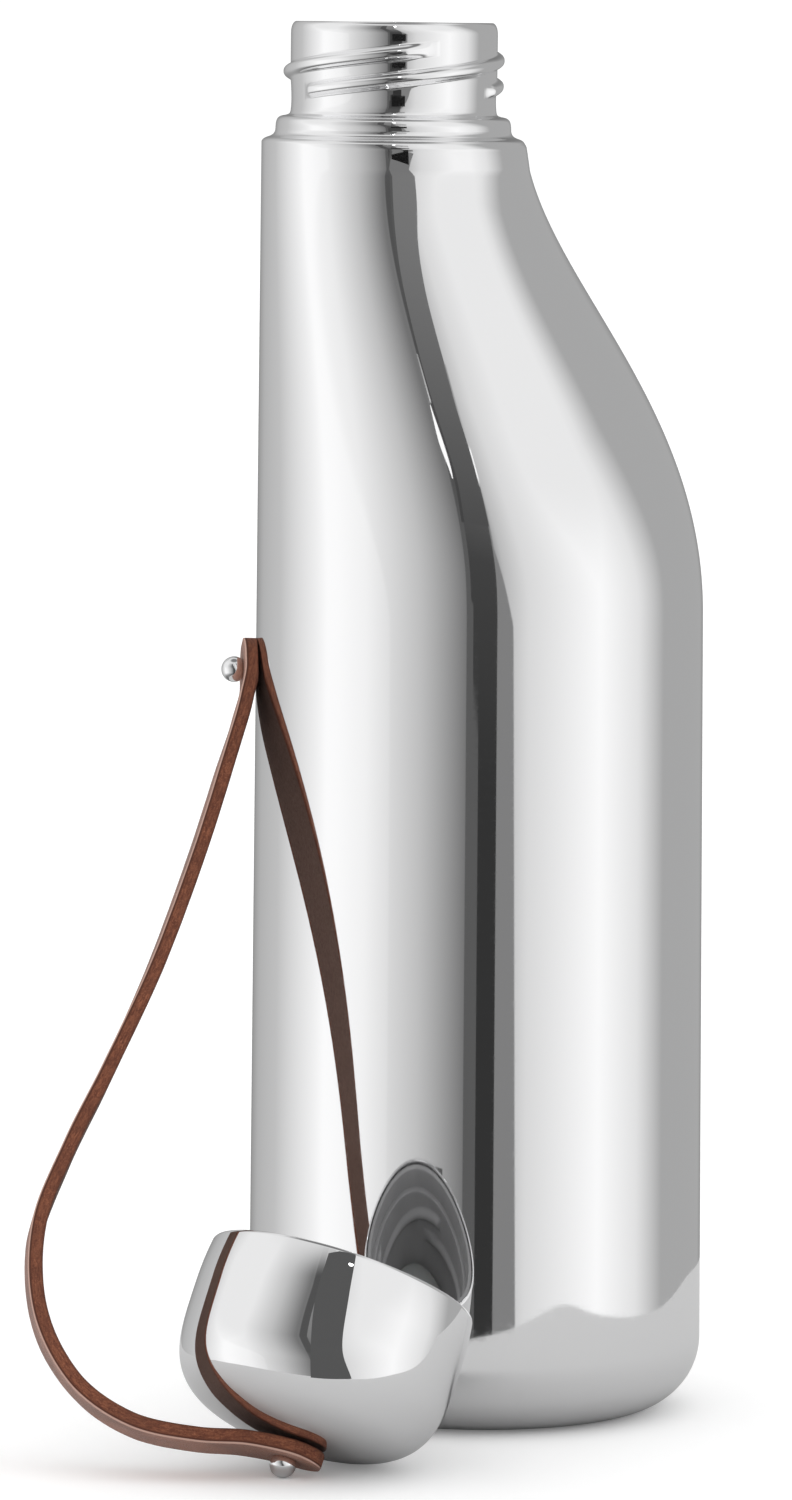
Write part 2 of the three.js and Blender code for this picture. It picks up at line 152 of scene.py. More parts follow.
class Nodes:
    """A short way to write a node tree."""

    def __init__(self, tree):
        self.tree = tree
        tree.nodes.clear()

    def add(self, kind, **settings):
        node = self.tree.nodes.new(kind)
        for name, value in settings.items():
            setattr(node, name, value)
        return node

    def link(self, source, target):
        self.tree.links.new(source, target)

    def put(self, node, key, value):
        """Sets or links one input of a node."""
        socket = node.inputs[key]
        if isinstance(value, bpy.types.NodeSocket):
            self.link(value, socket)
        else:
            socket.default_value = value

    def math(self, operation, a, b=0.0):
        node = self.add("ShaderNodeMath", operation=operation)
        self.put(node, 0, a)
        self.put(node, 1, b)
        return node.outputs[0]

    def noise(self, vector, scale, detail=3.0, roughness=0.55, distortion=0.0):
        node = self.add("ShaderNodeTexNoise")
        self.put(node, "Vector", vector)
        self.put(node, "Scale", scale)
        self.put(node, "Detail", detail)
        self.put(node, "Roughness", roughness)
        self.put(node, "Distortion", distortion)
        return node.outputs["Fac"]

    def cells(self, vector, scale, feature="F1"):
        node = self.add("ShaderNodeTexVoronoi", feature=feature)
        self.put(node, "Vector", vector)
        self.put(node, "Scale", scale)
        return node.outputs["Distance"]

    def remap(self, value, low, high, to_low=0.0, to_high=1.0):
        node = self.add("ShaderNodeMapRange", interpolation_type="SMOOTHSTEP")
        self.put(node, "Value", value)
        self.put(node, "From Min", low)
        self.put(node, "From Max", high)
        self.put(node, "To Min", to_low)
        self.put(node, "To Max", to_high)
        return node.outputs[0]

    def ramp(self, value, low, high, stops):
        """Straight lines between stops of (value, light)."""
        node = self.add("ShaderNodeValToRGB")
        self.link(self.math("DIVIDE", self.math("SUBTRACT", value, low), high - low), node.inputs["Fac"])
        elements = node.color_ramp.elements
        while len(elements) < len(stops):
            elements.new(0.5)
        for element, (place, light) in zip(elements, stops):
            element.position = (place - low) / (high - low)
            element.color = (light, light, light, 1)
        return node.outputs["Color"]

    def mix(self, factor, a, b):
        node = self.add("ShaderNodeMix", data_type="RGBA")
        self.put(node, 0, factor)
        for index, colour in ((6, a), (7, b)):
            if isinstance(colour, tuple):
                colour = (*colour, 1.0)
            self.put(node, index, colour)
        return node.outputs[2]

    def stretched(self, vector, scale):
        node = self.add("ShaderNodeMapping")
        self.put(node, "Vector", vector)
        self.put(node, "Scale", scale)
        return node.outputs[0]

    def bump(self, height, strength, distance):
        node = self.add("ShaderNodeBump")
        self.put(node, "Height", height)
        self.put(node, "Strength", strength)
        self.put(node, "Distance", distance)
        return node.outputs[0]

    def attribute(self, name):
        return self.add("ShaderNodeAttribute", attribute_name=name).outputs["Vector"]

    def object_space(self):
        return self.add("ShaderNodeTexCoord").outputs["Object"]


def material(name, paint=None, **constants):
    """A new material: constants set the shader's sockets, and paint(nodes, shader) draws it."""
    made = bpy.data.materials.new(name)
    made.use_nodes = True
    nodes = Nodes(made.node_tree)
    shader = nodes.add("ShaderNodeBsdfPrincipled")
    output = nodes.add("ShaderNodeOutputMaterial")
    nodes.link(shader.outputs[0], output.inputs["Surface"])
    for key, value in constants.items():
        shader.inputs[key.replace("_", " ")].default_value = value
    if paint:
        paint(nodes, shader)
    return made


# ------------------------------------------------------------------ materials


def paint_mirror(n, shader):
    """Polished sheet: a very faint haze and the slow waves that polishing leaves."""
    place = n.object_space()
    haze = n.noise(place, 900.0, 4.0, 0.6)
    marks = n.noise(n.stretched(place, (60.0, 60.0, 700.0)), 3.0, 5.0, 0.7)
    mixed = n.math("MULTIPLY", haze, marks)
    n.put(shader, "Roughness", n.remap(mixed, 0.15, 0.45, 0.025, 0.06))
    waves = n.noise(place, 45.0, 1.0, 0.4)
    n.put(shader, "Normal", n.bump(waves, 0.02, 0.0004))


def paint_satin(n, shader):
    """Turned and pickled sheet, with fine rings round the axis."""
    place = n.object_space()
    rings = n.noise(n.stretched(place, (8.0, 8.0, 2600.0)), 1.0, 3.0, 0.6)
    cloud = n.noise(place, 60.0, 3.0)
    n.put(shader, "Base Color", n.mix(cloud, (0.47, 0.47, 0.475), (0.6, 0.6, 0.6)))
    n.put(shader, "Roughness", n.remap(rings, 0.3, 0.7, 0.24, 0.4))
    n.put(shader, "Normal", n.bump(rings, 0.12, 0.0001))


def paint_cover(n, shader):
    """Spun disc: rings about its centre."""
    place = n.object_space()
    split = n.add("ShaderNodeVectorMath", operation="LENGTH")
    n.put(split, 0, n.stretched(place, (1.0, 1.0, 0.0)))
    radius = n.math("MULTIPLY", split.outputs["Value"], 5200.0)
    rings = n.noise(radius, 1.0, 2.0)
    n.put(shader, "Roughness", n.remap(rings, 0.3, 0.7, 0.1, 0.22))
    n.put(shader, "Normal", n.bump(rings, 0.1, 0.00005))


def paint_grain(n, shader):
    """The smooth side of the leather: small pebbles, fine pores, slow colour changes and painted shade in
    the creases.
    """
    place = n.attribute("strap_place")
    pebbles = n.cells(place, 2.3)
    creases = n.cells(n.stretched(place, (0.7, 1.0, 1.0)), 2.6, "DISTANCE_TO_EDGE")
    pores = n.noise(place, 9.0, 4.0, 0.65)
    slow = n.noise(place, 0.12, 3.0)
    tone = n.mix(n.remap(slow, 0.35, 0.65), (0.19, 0.07, 0.038), (0.3, 0.12, 0.07))
    # painted shade: the creases between the pebbles are darkened in the colour itself
    tone = n.mix(n.remap(creases, 0.0, 0.09, 0.55, 0.0), tone, (0.12, 0.045, 0.026))
    tone = n.mix(n.remap(pores, 0.55, 0.72, 0.0, 0.35), tone, (0.5, 0.27, 0.18))
    n.put(shader, "Base Color", tone)
    n.put(shader, "Roughness", n.remap(pores, 0.3, 0.7, 0.42, 0.62))
    relief = n.math("ADD", n.remap(creases, 0.0, 0.12), n.math("MULTIPLY", pores, 0.5))
    relief = n.math("ADD", relief, n.math("MULTIPLY", pebbles, 0.4))
    n.put(shader, "Normal", n.bump(relief, 0.45, 0.00012))


def paint_cut_edge(n, shader):
    """The raw cut edge: mottled fibres, a little darker towards the two faces, with a painted highlight
    line along the rounded corner on the grain side.
    """
    place = n.attribute("strap_place")
    split = n.add("ShaderNodeSeparateXYZ")
    n.link(place, split.inputs[0])
    depth = split.outputs[2]
    fibres = n.noise(n.stretched(place, (0.55, 1.0, 2.2)), 1.7, 6.0, 0.72, 0.5)
    specks = n.noise(place, 3.4, 6.0, 0.78)
    slow = n.noise(place, 0.3, 3.0)
    tone = n.mix(n.remap(fibres, 0.36, 0.64), (0.115, 0.032, 0.016), (0.26, 0.088, 0.043))
    tone = n.mix(n.remap(specks, 0.53, 0.66, 0.0, 0.75), tone, (0.37, 0.155, 0.088))
    tone = n.mix(n.remap(specks, 0.34, 0.47, 0.75, 0.0), tone, (0.062, 0.019, 0.011))
    tone = n.mix(n.remap(slow, 0.38, 0.62, 0.0, 0.35), tone, (0.1, 0.032, 0.018))
    face = STRAP_THICKNESS / 2
    tone = n.mix(n.remap(depth, face - 0.62, face - 0.34), tone, (0.085, 0.026, 0.014))
    # painted highlight: a thin light line along the rounded corner next to the grain face, where it
    # catches the light
    tone = n.mix(n.remap(depth, face - 0.24, face - 0.12), tone, (0.5, 0.32, 0.26))
    tone = n.mix(n.remap(depth, -face + 0.1, -face + 0.5, 0.5, 0.0), tone, (0.09, 0.03, 0.018))
    n.put(shader, "Base Color", tone)
    n.put(shader, "Roughness", n.remap(specks, 0.3, 0.7, 0.62, 0.85))
    relief = n.math("ADD", fibres, n.math("MULTIPLY", specks, 0.6))
    n.put(shader, "Normal", n.bump(relief, 0.7, 0.0002))


def paint_flesh(n, shader):
    """The rough inner side: long soft nap."""
    place = n.attribute("strap_place")
    nap = n.noise(n.stretched(place, (0.5, 1.6, 1.0)), 3.2, 6.0, 0.75, 0.8)
    tone = n.mix(n.remap(nap, 0.3, 0.7), (0.09, 0.052, 0.041), (0.17, 0.105, 0.084))
    n.put(shader, "Base Color", tone)
    n.put(shader, "Normal", n.bump(nap, 0.7, 0.0002))


def paint_insert(n, shader):
    """Moulded plastic with a spark-eroded matt skin."""
    place = n.object_space()
    skin = n.noise(place, 5200.0, 3.0, 0.6)
    cloud = n.noise(place, 120.0, 2.0)
    n.put(shader, "Base Color", n.mix(cloud, (0.27, 0.27, 0.275), (0.33, 0.33, 0.332)))
    n.put(shader, "Roughness", n.remap(skin, 0.3, 0.7, 0.55, 0.7))
    n.put(shader, "Normal", n.bump(skin, 0.2, 0.00004))


def paint_silicone(n, shader):
    place = n.object_space()
    bloom = n.noise(place, 260.0, 4.0, 0.6)
    n.put(shader, "Base Color", n.mix(bloom, (0.3, 0.3, 0.295), (0.4, 0.395, 0.385)))
    n.put(shader, "Roughness", n.remap(bloom, 0.3, 0.7, 0.42, 0.6))
    n.put(shader, "Normal", n.bump(bloom, 0.1, 0.0001))


def paint_foam(n, shader):
    place = n.object_space()
    bubbles = n.cells(place, 2200.0)
    n.put(shader, "Base Color", n.mix(bubbles, (0.86, 0.84, 0.79), (0.66, 0.63, 0.57)))
    n.put(shader, "Normal", n.bump(bubbles, 0.6, 0.0003))


def paint_solder(n, shader):
    place = n.object_space()
    skin = n.noise(place, 900.0, 5.0, 0.65)
    n.put(shader, "Base Color", n.mix(skin, (0.3, 0.3, 0.31), (0.5, 0.5, 0.5)))
    n.put(shader, "Roughness", n.remap(skin, 0.3, 0.7, 0.35, 0.6))
    n.put(shader, "Normal", n.bump(skin, 0.4, 0.0002))


MIRROR = material("mirror_steel", paint_mirror, Metallic=1.0, Base_Color=(0.93, 0.93, 0.935, 1.0))
SATIN = material("satin_steel", paint_satin, Metallic=1.0)
COVER = material("spun_steel", paint_cover, Metallic=1.0, Base_Color=(0.85, 0.85, 0.86, 1.0))
GRAIN = material("leather_grain", paint_grain, Specular_IOR_Level=0.5, Sheen_Weight=0.12)
CUT_EDGE = material("leather_cut_edge", paint_cut_edge, Specular_IOR_Level=0.3)
FLESH = material("leather_flesh", paint_flesh, Roughness=0.85, Specular_IOR_Level=0.25)
INSERT = material("insert_plastic", paint_insert, Specular_IOR_Level=0.25)
SILICONE = material("silicone", paint_silicone, Subsurface_Weight=0.1)
FOAM = material("foam", paint_foam, Roughness=0.95)
SOLDER = material("solder", paint_solder, Metallic=0.8)


# ------------------------------------------------------------------ mesh helpers


def arc(radius, height, size, start, end, steps):
    """Points of a round stretch as (radius, height), with angles in degrees."""
    angles = np.radians(np.linspace(start, end, steps + 1))
    return [(radius + size * math.cos(a), height + size * math.sin(a)) for a in angles]


def line(start, end, steps):
    """Points from start up to, but without, end."""
    return [tuple(np.array(start) + (np.array(end) - start) * i / steps) for i in range(steps)]


def finish_mesh(name, points, faces, sharp=35):
    """A smooth-shaded object from points in millimetres, with edges over sharp degrees kept."""
    mesh = bpy.data.meshes.new(name)
    mesh.from_pydata((np.asarray(points) * MM).tolist(), [], faces)
    mesh.validate()
    made = bmesh.new()
    made.from_mesh(mesh)
    bmesh.ops.remove_doubles(made, verts=made.verts, dist=1e-7)
    bmesh.ops.recalc_face_normals(made, faces=made.faces)
    made.to_mesh(mesh)
    made.free()
    mesh.shade_smooth()
    mesh.set_sharp_from_angle(angle=math.radians(sharp))
    piece = bpy.data.objects.new(name, mesh)
    bpy.context.scene.collection.objects.link(piece)
    return piece


def revolve(name, rings, segments, shape=None, sharp=35):
    """A turned piece about Z from rings of (radius, height) or (radius, height, centre).

    The rings close on themselves, or start and end on the axis. shape(radius, height,
    angle) may move the radius of each point, for a thread.
    """
    profile = np.array([(*ring, 0)[:3] for ring in rings], float)
    closed = profile[0, 0] > 1e-6 or profile[-1, 0] > 1e-6
    angles = np.linspace(0, 2 * np.pi, segments, endpoint=False)
    radius = np.repeat(profile[:, :1], segments, axis=1)
    height = np.repeat(profile[:, 1:2], segments, axis=1)
    if shape is not None:
        radius = shape(radius, height, angles[None, :])
    x = profile[:, 2:] + radius * np.cos(angles)
    y = radius * np.sin(angles)
    points = np.stack([x, y, height], axis=-1).reshape(-1, 3)
    count = len(profile)
    faces = []
    for i in range(count if closed else count - 1):
        low = i * segments
        high = (i + 1) % count * segments
        for j in range(segments):
            k = (j + 1) % segments
            faces.append((low + j, low + k, high + k, high + j))
    return finish_mesh(name, points, faces, sharp)


def settle(piece, body, node, paint):
    """The piece takes its material, stands for a CAD node and rides on its body."""
    if paint is not None:
        piece.data.materials.append(paint)
    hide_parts(node)
    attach(piece, body)
    return piece


def centripetal(points, samples):
    """Points on the centripetal Catmull-Rom curve through the given ones."""
    points = np.asarray(points, float)
    ends = np.vstack([2 * points[0] - points[1], points, 2 * points[-1] - points[-2]])
    whole = []
    for p0, p1, p2, p3 in zip(ends, ends[1:], ends[2:], ends[3:]):
        d0, d1, d2 = (math.sqrt(np.linalg.norm(b - a)) for a, b in ((p0, p1), (p1, p2), (p2, p3)))
        m1 = (p2 - p1) + d1 * ((p1 - p0) / d0 - (p2 - p0) / (d0 + d1))
        m2 = (p2 - p1) + d1 * ((p3 - p2) / d2 - (p3 - p1) / (d1 + d2))
        t = np.linspace(0, 1, samples, endpoint=False)[:, None]
        h1, h2 = 2 * t**3 - 3 * t**2 + 1, t**3 - 2 * t**2 + t
        h3, h4 = -2 * t**3 + 3 * t**2, t**3 - t**2
        whole.append(h1 * p1 + h2 * m1 + h3 * p2 + h4 * m2)
    whole.append(points[-1:])
    return np.vstack(whole)


# ------------------------------------------------------------------ the body's outline

SHOULDER_CURVE = np.array([
    (BODY_RADIUS + TAPER * (TAPER_HEIGHT - SHOULDER_START), SHOULDER_START),
    (35.47, 162.6),
    (21.8, 182.2),
    (SHOULDER_RADIUS, SHOULDER_TOP),
])


def bezier(points, t):
    t = np.asarray(t, float)[:, None]
    u = 1 - t
    return u**3 * points[0] + 3 * u * u * t * points[1] + 3 * u * t * t * points[2] + t**3 * points[3]


SHOULDER_LINE = bezier(SHOULDER_CURVE, np.linspace(0, 1, 600))


def body_radius(height):
    straight = BODY_RADIUS + TAPER * (TAPER_HEIGHT - np.asarray(height, float))
    curved = np.interp(height, SHOULDER_LINE[:, 1], SHOULDER_LINE[:, 0])
    return np.where(np.asarray(height) <= SHOULDER_START, straight, curved)


def wall_ring(height, inset=0.0):
    """Every section's circle touches the straight side, so its centre moves along X."""
    radius = float(body_radius(height))
    return (radius - inset, height, radius - BODY_RADIUS)


NECK_CENTRE = SHOULDER_RADIUS - BODY_RADIUS
BASE_CENTRE = float(body_radius(BASE_FILLET)) - BODY_RADIUS


def centred(points, centre):
    return [(radius, height, centre) for radius, height in points]


# ------------------------------------------------------------------ body pieces


# The shell's top lip rolls over and runs up into the collar without a gap.
SHELL_LIP = [
    (21.09, 201.2), (21.03, 201.8), (20.86, 202.35), (20.55, 202.72), (20.1, 202.95), (19.55, 203.15),
    (19.1, 203.42), (18.82, 203.8), (18.68, 204.4),
]


def touching(radius, height):
    """A ring of the shell that keeps to the straight side, down to the neck's own centre."""
    return (radius, height, max(radius - BODY_RADIUS, NECK_CENTRE))


def outer_shell():
    base_radius = float(body_radius(BASE_FILLET)) - BASE_FILLET
    lip_start = 198
    wall_heights = [*np.linspace(BASE_FILLET, SHOULDER_START, 40), *np.linspace(129, lip_start, 110)]
    lip = centripetal([(float(body_radius(lip_start)), lip_start), *SHELL_LIP], 8)[1:]
    tucked = SHELL_LIP[-1][0] - 0.3
    outer = [
        *centred(arc(base_radius, BASE_FILLET, BASE_FILLET, -90, 0, 40)[:-1], BASE_CENTRE),
        *[wall_ring(height) for height in wall_heights],
        *[touching(*point) for point in lip],
        (tucked, SHELL_LIP[-1][1], NECK_CENTRE),
    ]
    inner = [
        (tucked, SHOULDER_TOP - SHELL_WALL, NECK_CENTRE),
        touching(SHOULDER_RADIUS - 1.2, SHOULDER_TOP - SHELL_WALL),
        *[wall_ring(height, SHELL_WALL) for height in wall_heights[::-6]],
        *centred(arc(base_radius, BASE_FILLET, BASE_FILLET - SHELL_WALL, 0, -90, 10), BASE_CENTRE),
        (BASE_OPENING, SHELL_WALL, 0),
        (BASE_OPENING, 0.15, 0),
        (BASE_OPENING + 0.15, 0, 0),
    ]
    piece = revolve("outer_shell_polished", outer + inner, 288)
    return settle(piece, "bottle", "outer_shell", MIRROR)


def base_cover():
    rings = [
        (0, 0),
        *line((2, 0), (COVER_RADIUS - 0.35, 0), 20),
        *arc(COVER_RADIUS - 0.35, 0.35, 0.35, -90, 0, 5),
        (COVER_RADIUS, COVER_THICKNESS),
        (0, COVER_THICKNESS),
    ]
    piece = revolve("base_cover_spun", rings, 160)
    return settle(piece, "bottle", "base_cover", COVER)


def inner_liner():
    inside = LINER_NECK_RADIUS - LINER_WALL
    low, lip = 16, 0.25
    heights = np.linspace(low, 181, 60)
    top = RIM_HEIGHT - 0.3
    outer = [
        *[wall_ring(height, WALL_SPACE) for height in heights],
        (16.2, 193, NECK_CENTRE),
        (LINER_NECK_RADIUS, 198, NECK_CENTRE),
        (LINER_NECK_RADIUS, top - lip, NECK_CENTRE),
    ]
    inner = [
        *centred(arc(inside + lip, top - lip, lip, 90, 180, 5), NECK_CENTRE),
        *centred(line((inside, top - 2), (inside, 199), 6), NECK_CENTRE),
        (inside + 0.15, 197, NECK_CENTRE),
        (15.7, 193, NECK_CENTRE),
        *[wall_ring(height, WALL_SPACE + LINER_WALL) for height in heights[::-1]],
    ]
    piece = revolve("inner_liner_satin", outer + inner, 144)
    return settle(piece, "bottle", "inner_liner", SATIN)


def liner_base():
    radius = float(body_radius(12)) - WALL_SPACE
    floor, rise = 10.8, 1.4

    def underside(thickness):
        dish = [(r, floor + thickness + rise * (1 - (r / 18) ** 2)) for r in np.linspace(0, 18, 12)]
        foot = [(radius - 4, floor + thickness)]
        bend = arc(radius - 4.2, floor + 4.2, 4.2 - thickness, -70, -8, 8)
        return dish + foot + bend

    rings = [*underside(0), (radius, 15.6), (radius - LINER_WALL, 15.6), *underside(LINER_WALL)[::-1]]
    piece = revolve("liner_base_dished", centred(rings, BASE_CENTRE), 120)
    return settle(piece, "bottle", "liner_base", SATIN)


def thread_shape(wall, direction, start_angle, span, low, rise, high):
    """A radius function for a cylinder with rounded helical ridges.

    A ridge starts abruptly at its low end. It sinks into the wall over its last stretch.
    """
    pitch = math.atan2(rise, math.radians(span) * wall)
    lead_in, lead_out, roundness, foot, sink = 7, 18, 2.6, 0.36, 0.35

    def shape(radius, height, angle):
        highest = np.full(np.broadcast(radius, angle).shape, -THREAD_PROUD)
        for i in range(THREAD_STARTS):
            turn = np.degrees(angle) - start_angle - i * 360 / THREAD_STARTS
            along = np.mod(turn + 30, 360) - 30
            distance = (height - low - rise * along / span) * math.cos(pitch)
            grown = np.clip(along / lead_in + 0.5, 0, 1) * np.clip((span - along) / lead_out, 0, 1)
            over = 1 - np.abs(distance / THREAD_HALF_WIDTH) ** roundness
            ridge = THREAD_PROUD * np.where(over > 0, grown * np.clip(over, 0, 1) ** 0.9, over)
            ridge = ridge - (1 - grown) * sink
            ridge = np.where(grown > 0, ridge, -THREAD_PROUD)
            highest = np.maximum(highest, ridge)
        highest = np.clip(highest, -THREAD_PROUD, None)
        rest = (math.hypot(THREAD_PROUD, foot) - THREAD_PROUD) / 2
        bump = (highest + np.hypot(highest, foot)) / 2 - rest
        on_wall = (np.abs(radius - wall) < 0.5) & (height < high) & (height > low - 2)
        return radius + direction * np.where(on_wall, bump, 0)

    return shape


# The step ring under the thread, from inside the shell's lip up to the neck's wall.
COLLAR_LINE = [
    (18.7, 202.3), (18.7, 204.6), (18.62, 205.35), (18.42, 205.88), (18.05, 206.22), (17.6, 206.38),
    (17.15, 206.46), (16.8, 206.57), (16.55, 206.7), (16.38, 207), (16.29, 207.6), (16.24, 208.4),
    (16.23, 209.3), (16.27, 210.6), (16.36, 212), (16.4, 213.2),
]


def threaded_neck():
    collar_low, collar_start = SHOULDER_TOP - 0.8, COLLAR_LINE[0][0]
    rim_low = RIM_HEIGHT - RIM_TALL
    rings = [
        (NECK_BORE, NECK_FOOT),
        (NECK_RADIUS + 0.3, NECK_FOOT),
        (NECK_RADIUS + 0.3, collar_low),
        (collar_start, collar_low),
        *centripetal(COLLAR_LINE, 7)[:-1],
        *line(COLLAR_LINE[-1], (NECK_RADIUS, rim_low), 170),
        *[(radius, rim_low + (height - rim_low) * RIM_TALL / RIM_EDGE)
          for radius, height in arc(NECK_RADIUS - RIM_EDGE, rim_low, RIM_EDGE, 0, 90, 20)[:-1]],
        *arc(NECK_BORE + 0.05, RIM_HEIGHT - 0.05, 0.05, 90, 180, 3),
    ]
    shape = thread_shape(NECK_RADIUS, 1, THREAD_PHASE, THREAD_SPAN, THREAD_LOW, THREAD_RISE, rim_low)
    piece = revolve("threaded_neck_polished", rings, 400, shape, sharp=75)
    piece.data.transform(Matrix.Translation((NECK_CENTRE * MM, 0, 0)))
    return settle(piece, "bottle", "threaded_neck", MIRROR)


def stud_rings(foot, foot_radius, ball_height):
    """A ball-headed stud along Z, with its foot just under height 0."""
    undercut = -56
    return [
        (0, -foot),
        *arc(foot_radius - 0.1, 0.1 - foot, 0.1, -90, 0, 3),
        *arc(foot_radius - 0.1, -0.1, 0.1, 0, 90, 3),
        (SHANK_RADIUS, 0.02),
        *arc(0, ball_height, BALL_RADIUS, undercut, 89, 56),
        (0, ball_height + BALL_RADIUS),
    ]


def body_stud():
    foot = 0.4
    surface = -BODY_RADIUS - GAP - foot
    ball_centre = STRAP_ROUTE[1][0] - STRAP_THICKNESS / 2 - BALL_STANDOFF
    piece = revolve("body_stud_ball", stud_rings(foot, 1.5, surface - ball_centre), 72)
    turn = Matrix.Rotation(math.radians(-90), 4, "Y")
    piece.data.transform(Matrix.Translation((surface * MM, 0, STUD_HEIGHT * MM)) @ turn)
    return settle(piece, "bottle", "body_stud", MIRROR)


# ------------------------------------------------------------------ the strap

DOWN = np.array((0, -math.sin(STRAP_LEAN), -math.cos(STRAP_LEAN)))
ACROSS = np.array((0, math.cos(STRAP_LEAN), -math.sin(STRAP_LEAN)))


def route_point(entry):
    return np.array((entry[0], 0, STUD_HEIGHT)) + DOWN * entry[1]


ROUTE_SAMPLES = 60
BEND_START = 10.5                     # along the strap from its upper tip
BEND_END = 17.5
STRAP_LINE = centripetal([route_point(entry) for entry in STRAP_ROUTE], ROUTE_SAMPLES)
STEPS = np.linalg.norm(np.diff(STRAP_LINE, axis=0), axis=1)
STRAP_DISTANCE = np.concatenate([[0], np.cumsum(STEPS)])
STRAP_LENGTH = STRAP_DISTANCE[-1]
STRAP_TWIST = np.interp(
    np.linspace(0, len(STRAP_ROUTE) - 1, len(STRAP_LINE)),
    np.arange(len(STRAP_ROUTE)),
    [math.radians(entry[2]) for entry in STRAP_ROUTE],
)


def strap_frames(distance):
    """Points, outer normals and width directions at distances from the upper tip."""
    def along(values):
        return np.stack([np.interp(distance, STRAP_DISTANCE, values[:, i]) for i in range(3)], axis=1)

    point = along(STRAP_LINE)
    tangent = along(np.gradient(STRAP_LINE, STRAP_DISTANCE, axis=0))
    tangent /= np.linalg.norm(tangent, axis=1)[:, None]
    width = ACROSS - (tangent @ ACROSS)[:, None] * tangent
    width /= np.linalg.norm(width, axis=1)[:, None]
    twist = np.interp(distance, STRAP_DISTANCE, STRAP_TWIST)[:, None]
    width = width * np.cos(twist) - np.cross(tangent, width) * np.sin(twist)
    normal = np.cross(width, tangent)
    return point, normal, width


def strap_section():
    """The strap's outline as (side, depth, face), where face is 0 grain, 1 edge, 2 flesh."""
    half_width, half_depth, round_off = STRAP_WIDTH / 2, STRAP_THICKNESS / 2, 0.3
    flat, tall = half_width - round_off, half_depth - round_off
    across, up = 26, 8
    section = []
    for i in range(across):
        section.append((flat - 2 * flat * i / across, half_depth, 0))
    section += [(x, y, 1) for x, y in arc(-flat, tall, round_off, 90, 180, 4)]
    for i in range(1, up):
        section.append((-half_width, tall - 2 * tall * i / up, 1))
    section += [(x, y, 1) for x, y in arc(-flat, -tall, round_off, 180, 270, 4)]
    for i in range(1, across):
        section.append((-flat + 2 * flat * i / across, -half_depth, 2))
    section += [(x, y, 1) for x, y in arc(flat, -tall, round_off, 270, 360, 4)]
    for i in range(1, up):
        section.append((half_width, -tall + 2 * tall * i / up, 1))
    section += [(x, y, 1) for x, y in arc(flat, tall, round_off, 0, 90, 4)][:-1]
    return section


def strap_distances():
    """Ring places along the strap, closer together round the two tips."""
    tip = STRAP_WIDTH / 2
    start = np.sort(tip * (1 - np.sin(np.radians(np.linspace(90, 0, 18))))[:-1] + 0.02)
    middle = np.linspace(tip, STRAP_LENGTH - tip, 300)
    return np.concatenate([start, middle, (STRAP_LENGTH - start)[::-1]])


def uneven(place, scale, seed):
    """A small smooth unevenness from a few waves, the same each run."""
    random = np.random.default_rng(seed)
    total = np.zeros(len(place))
    for _ in range(14):
        wave = random.normal(size=3) * scale
        total += np.sin(place @ wave + random.uniform(0, 2 * math.pi))
    return total / 14


def press_on_wall(points, distance):
    """The stud's ball presses the strap's upper end against the wall, and the leather gives."""
    give, held, free = 0.35, 6.0, 12.0
    share = np.clip((free - distance) / (free - held), 0, 1)
    moved = points.copy()
    moved[:, 0] += give * share**2 * (3 - 2 * share)
    wall = -BODY_RADIUS - 0.03
    beside = (distance < free) & (moved[:, 0] > wall)
    moved[beside, 0] = wall
    return moved


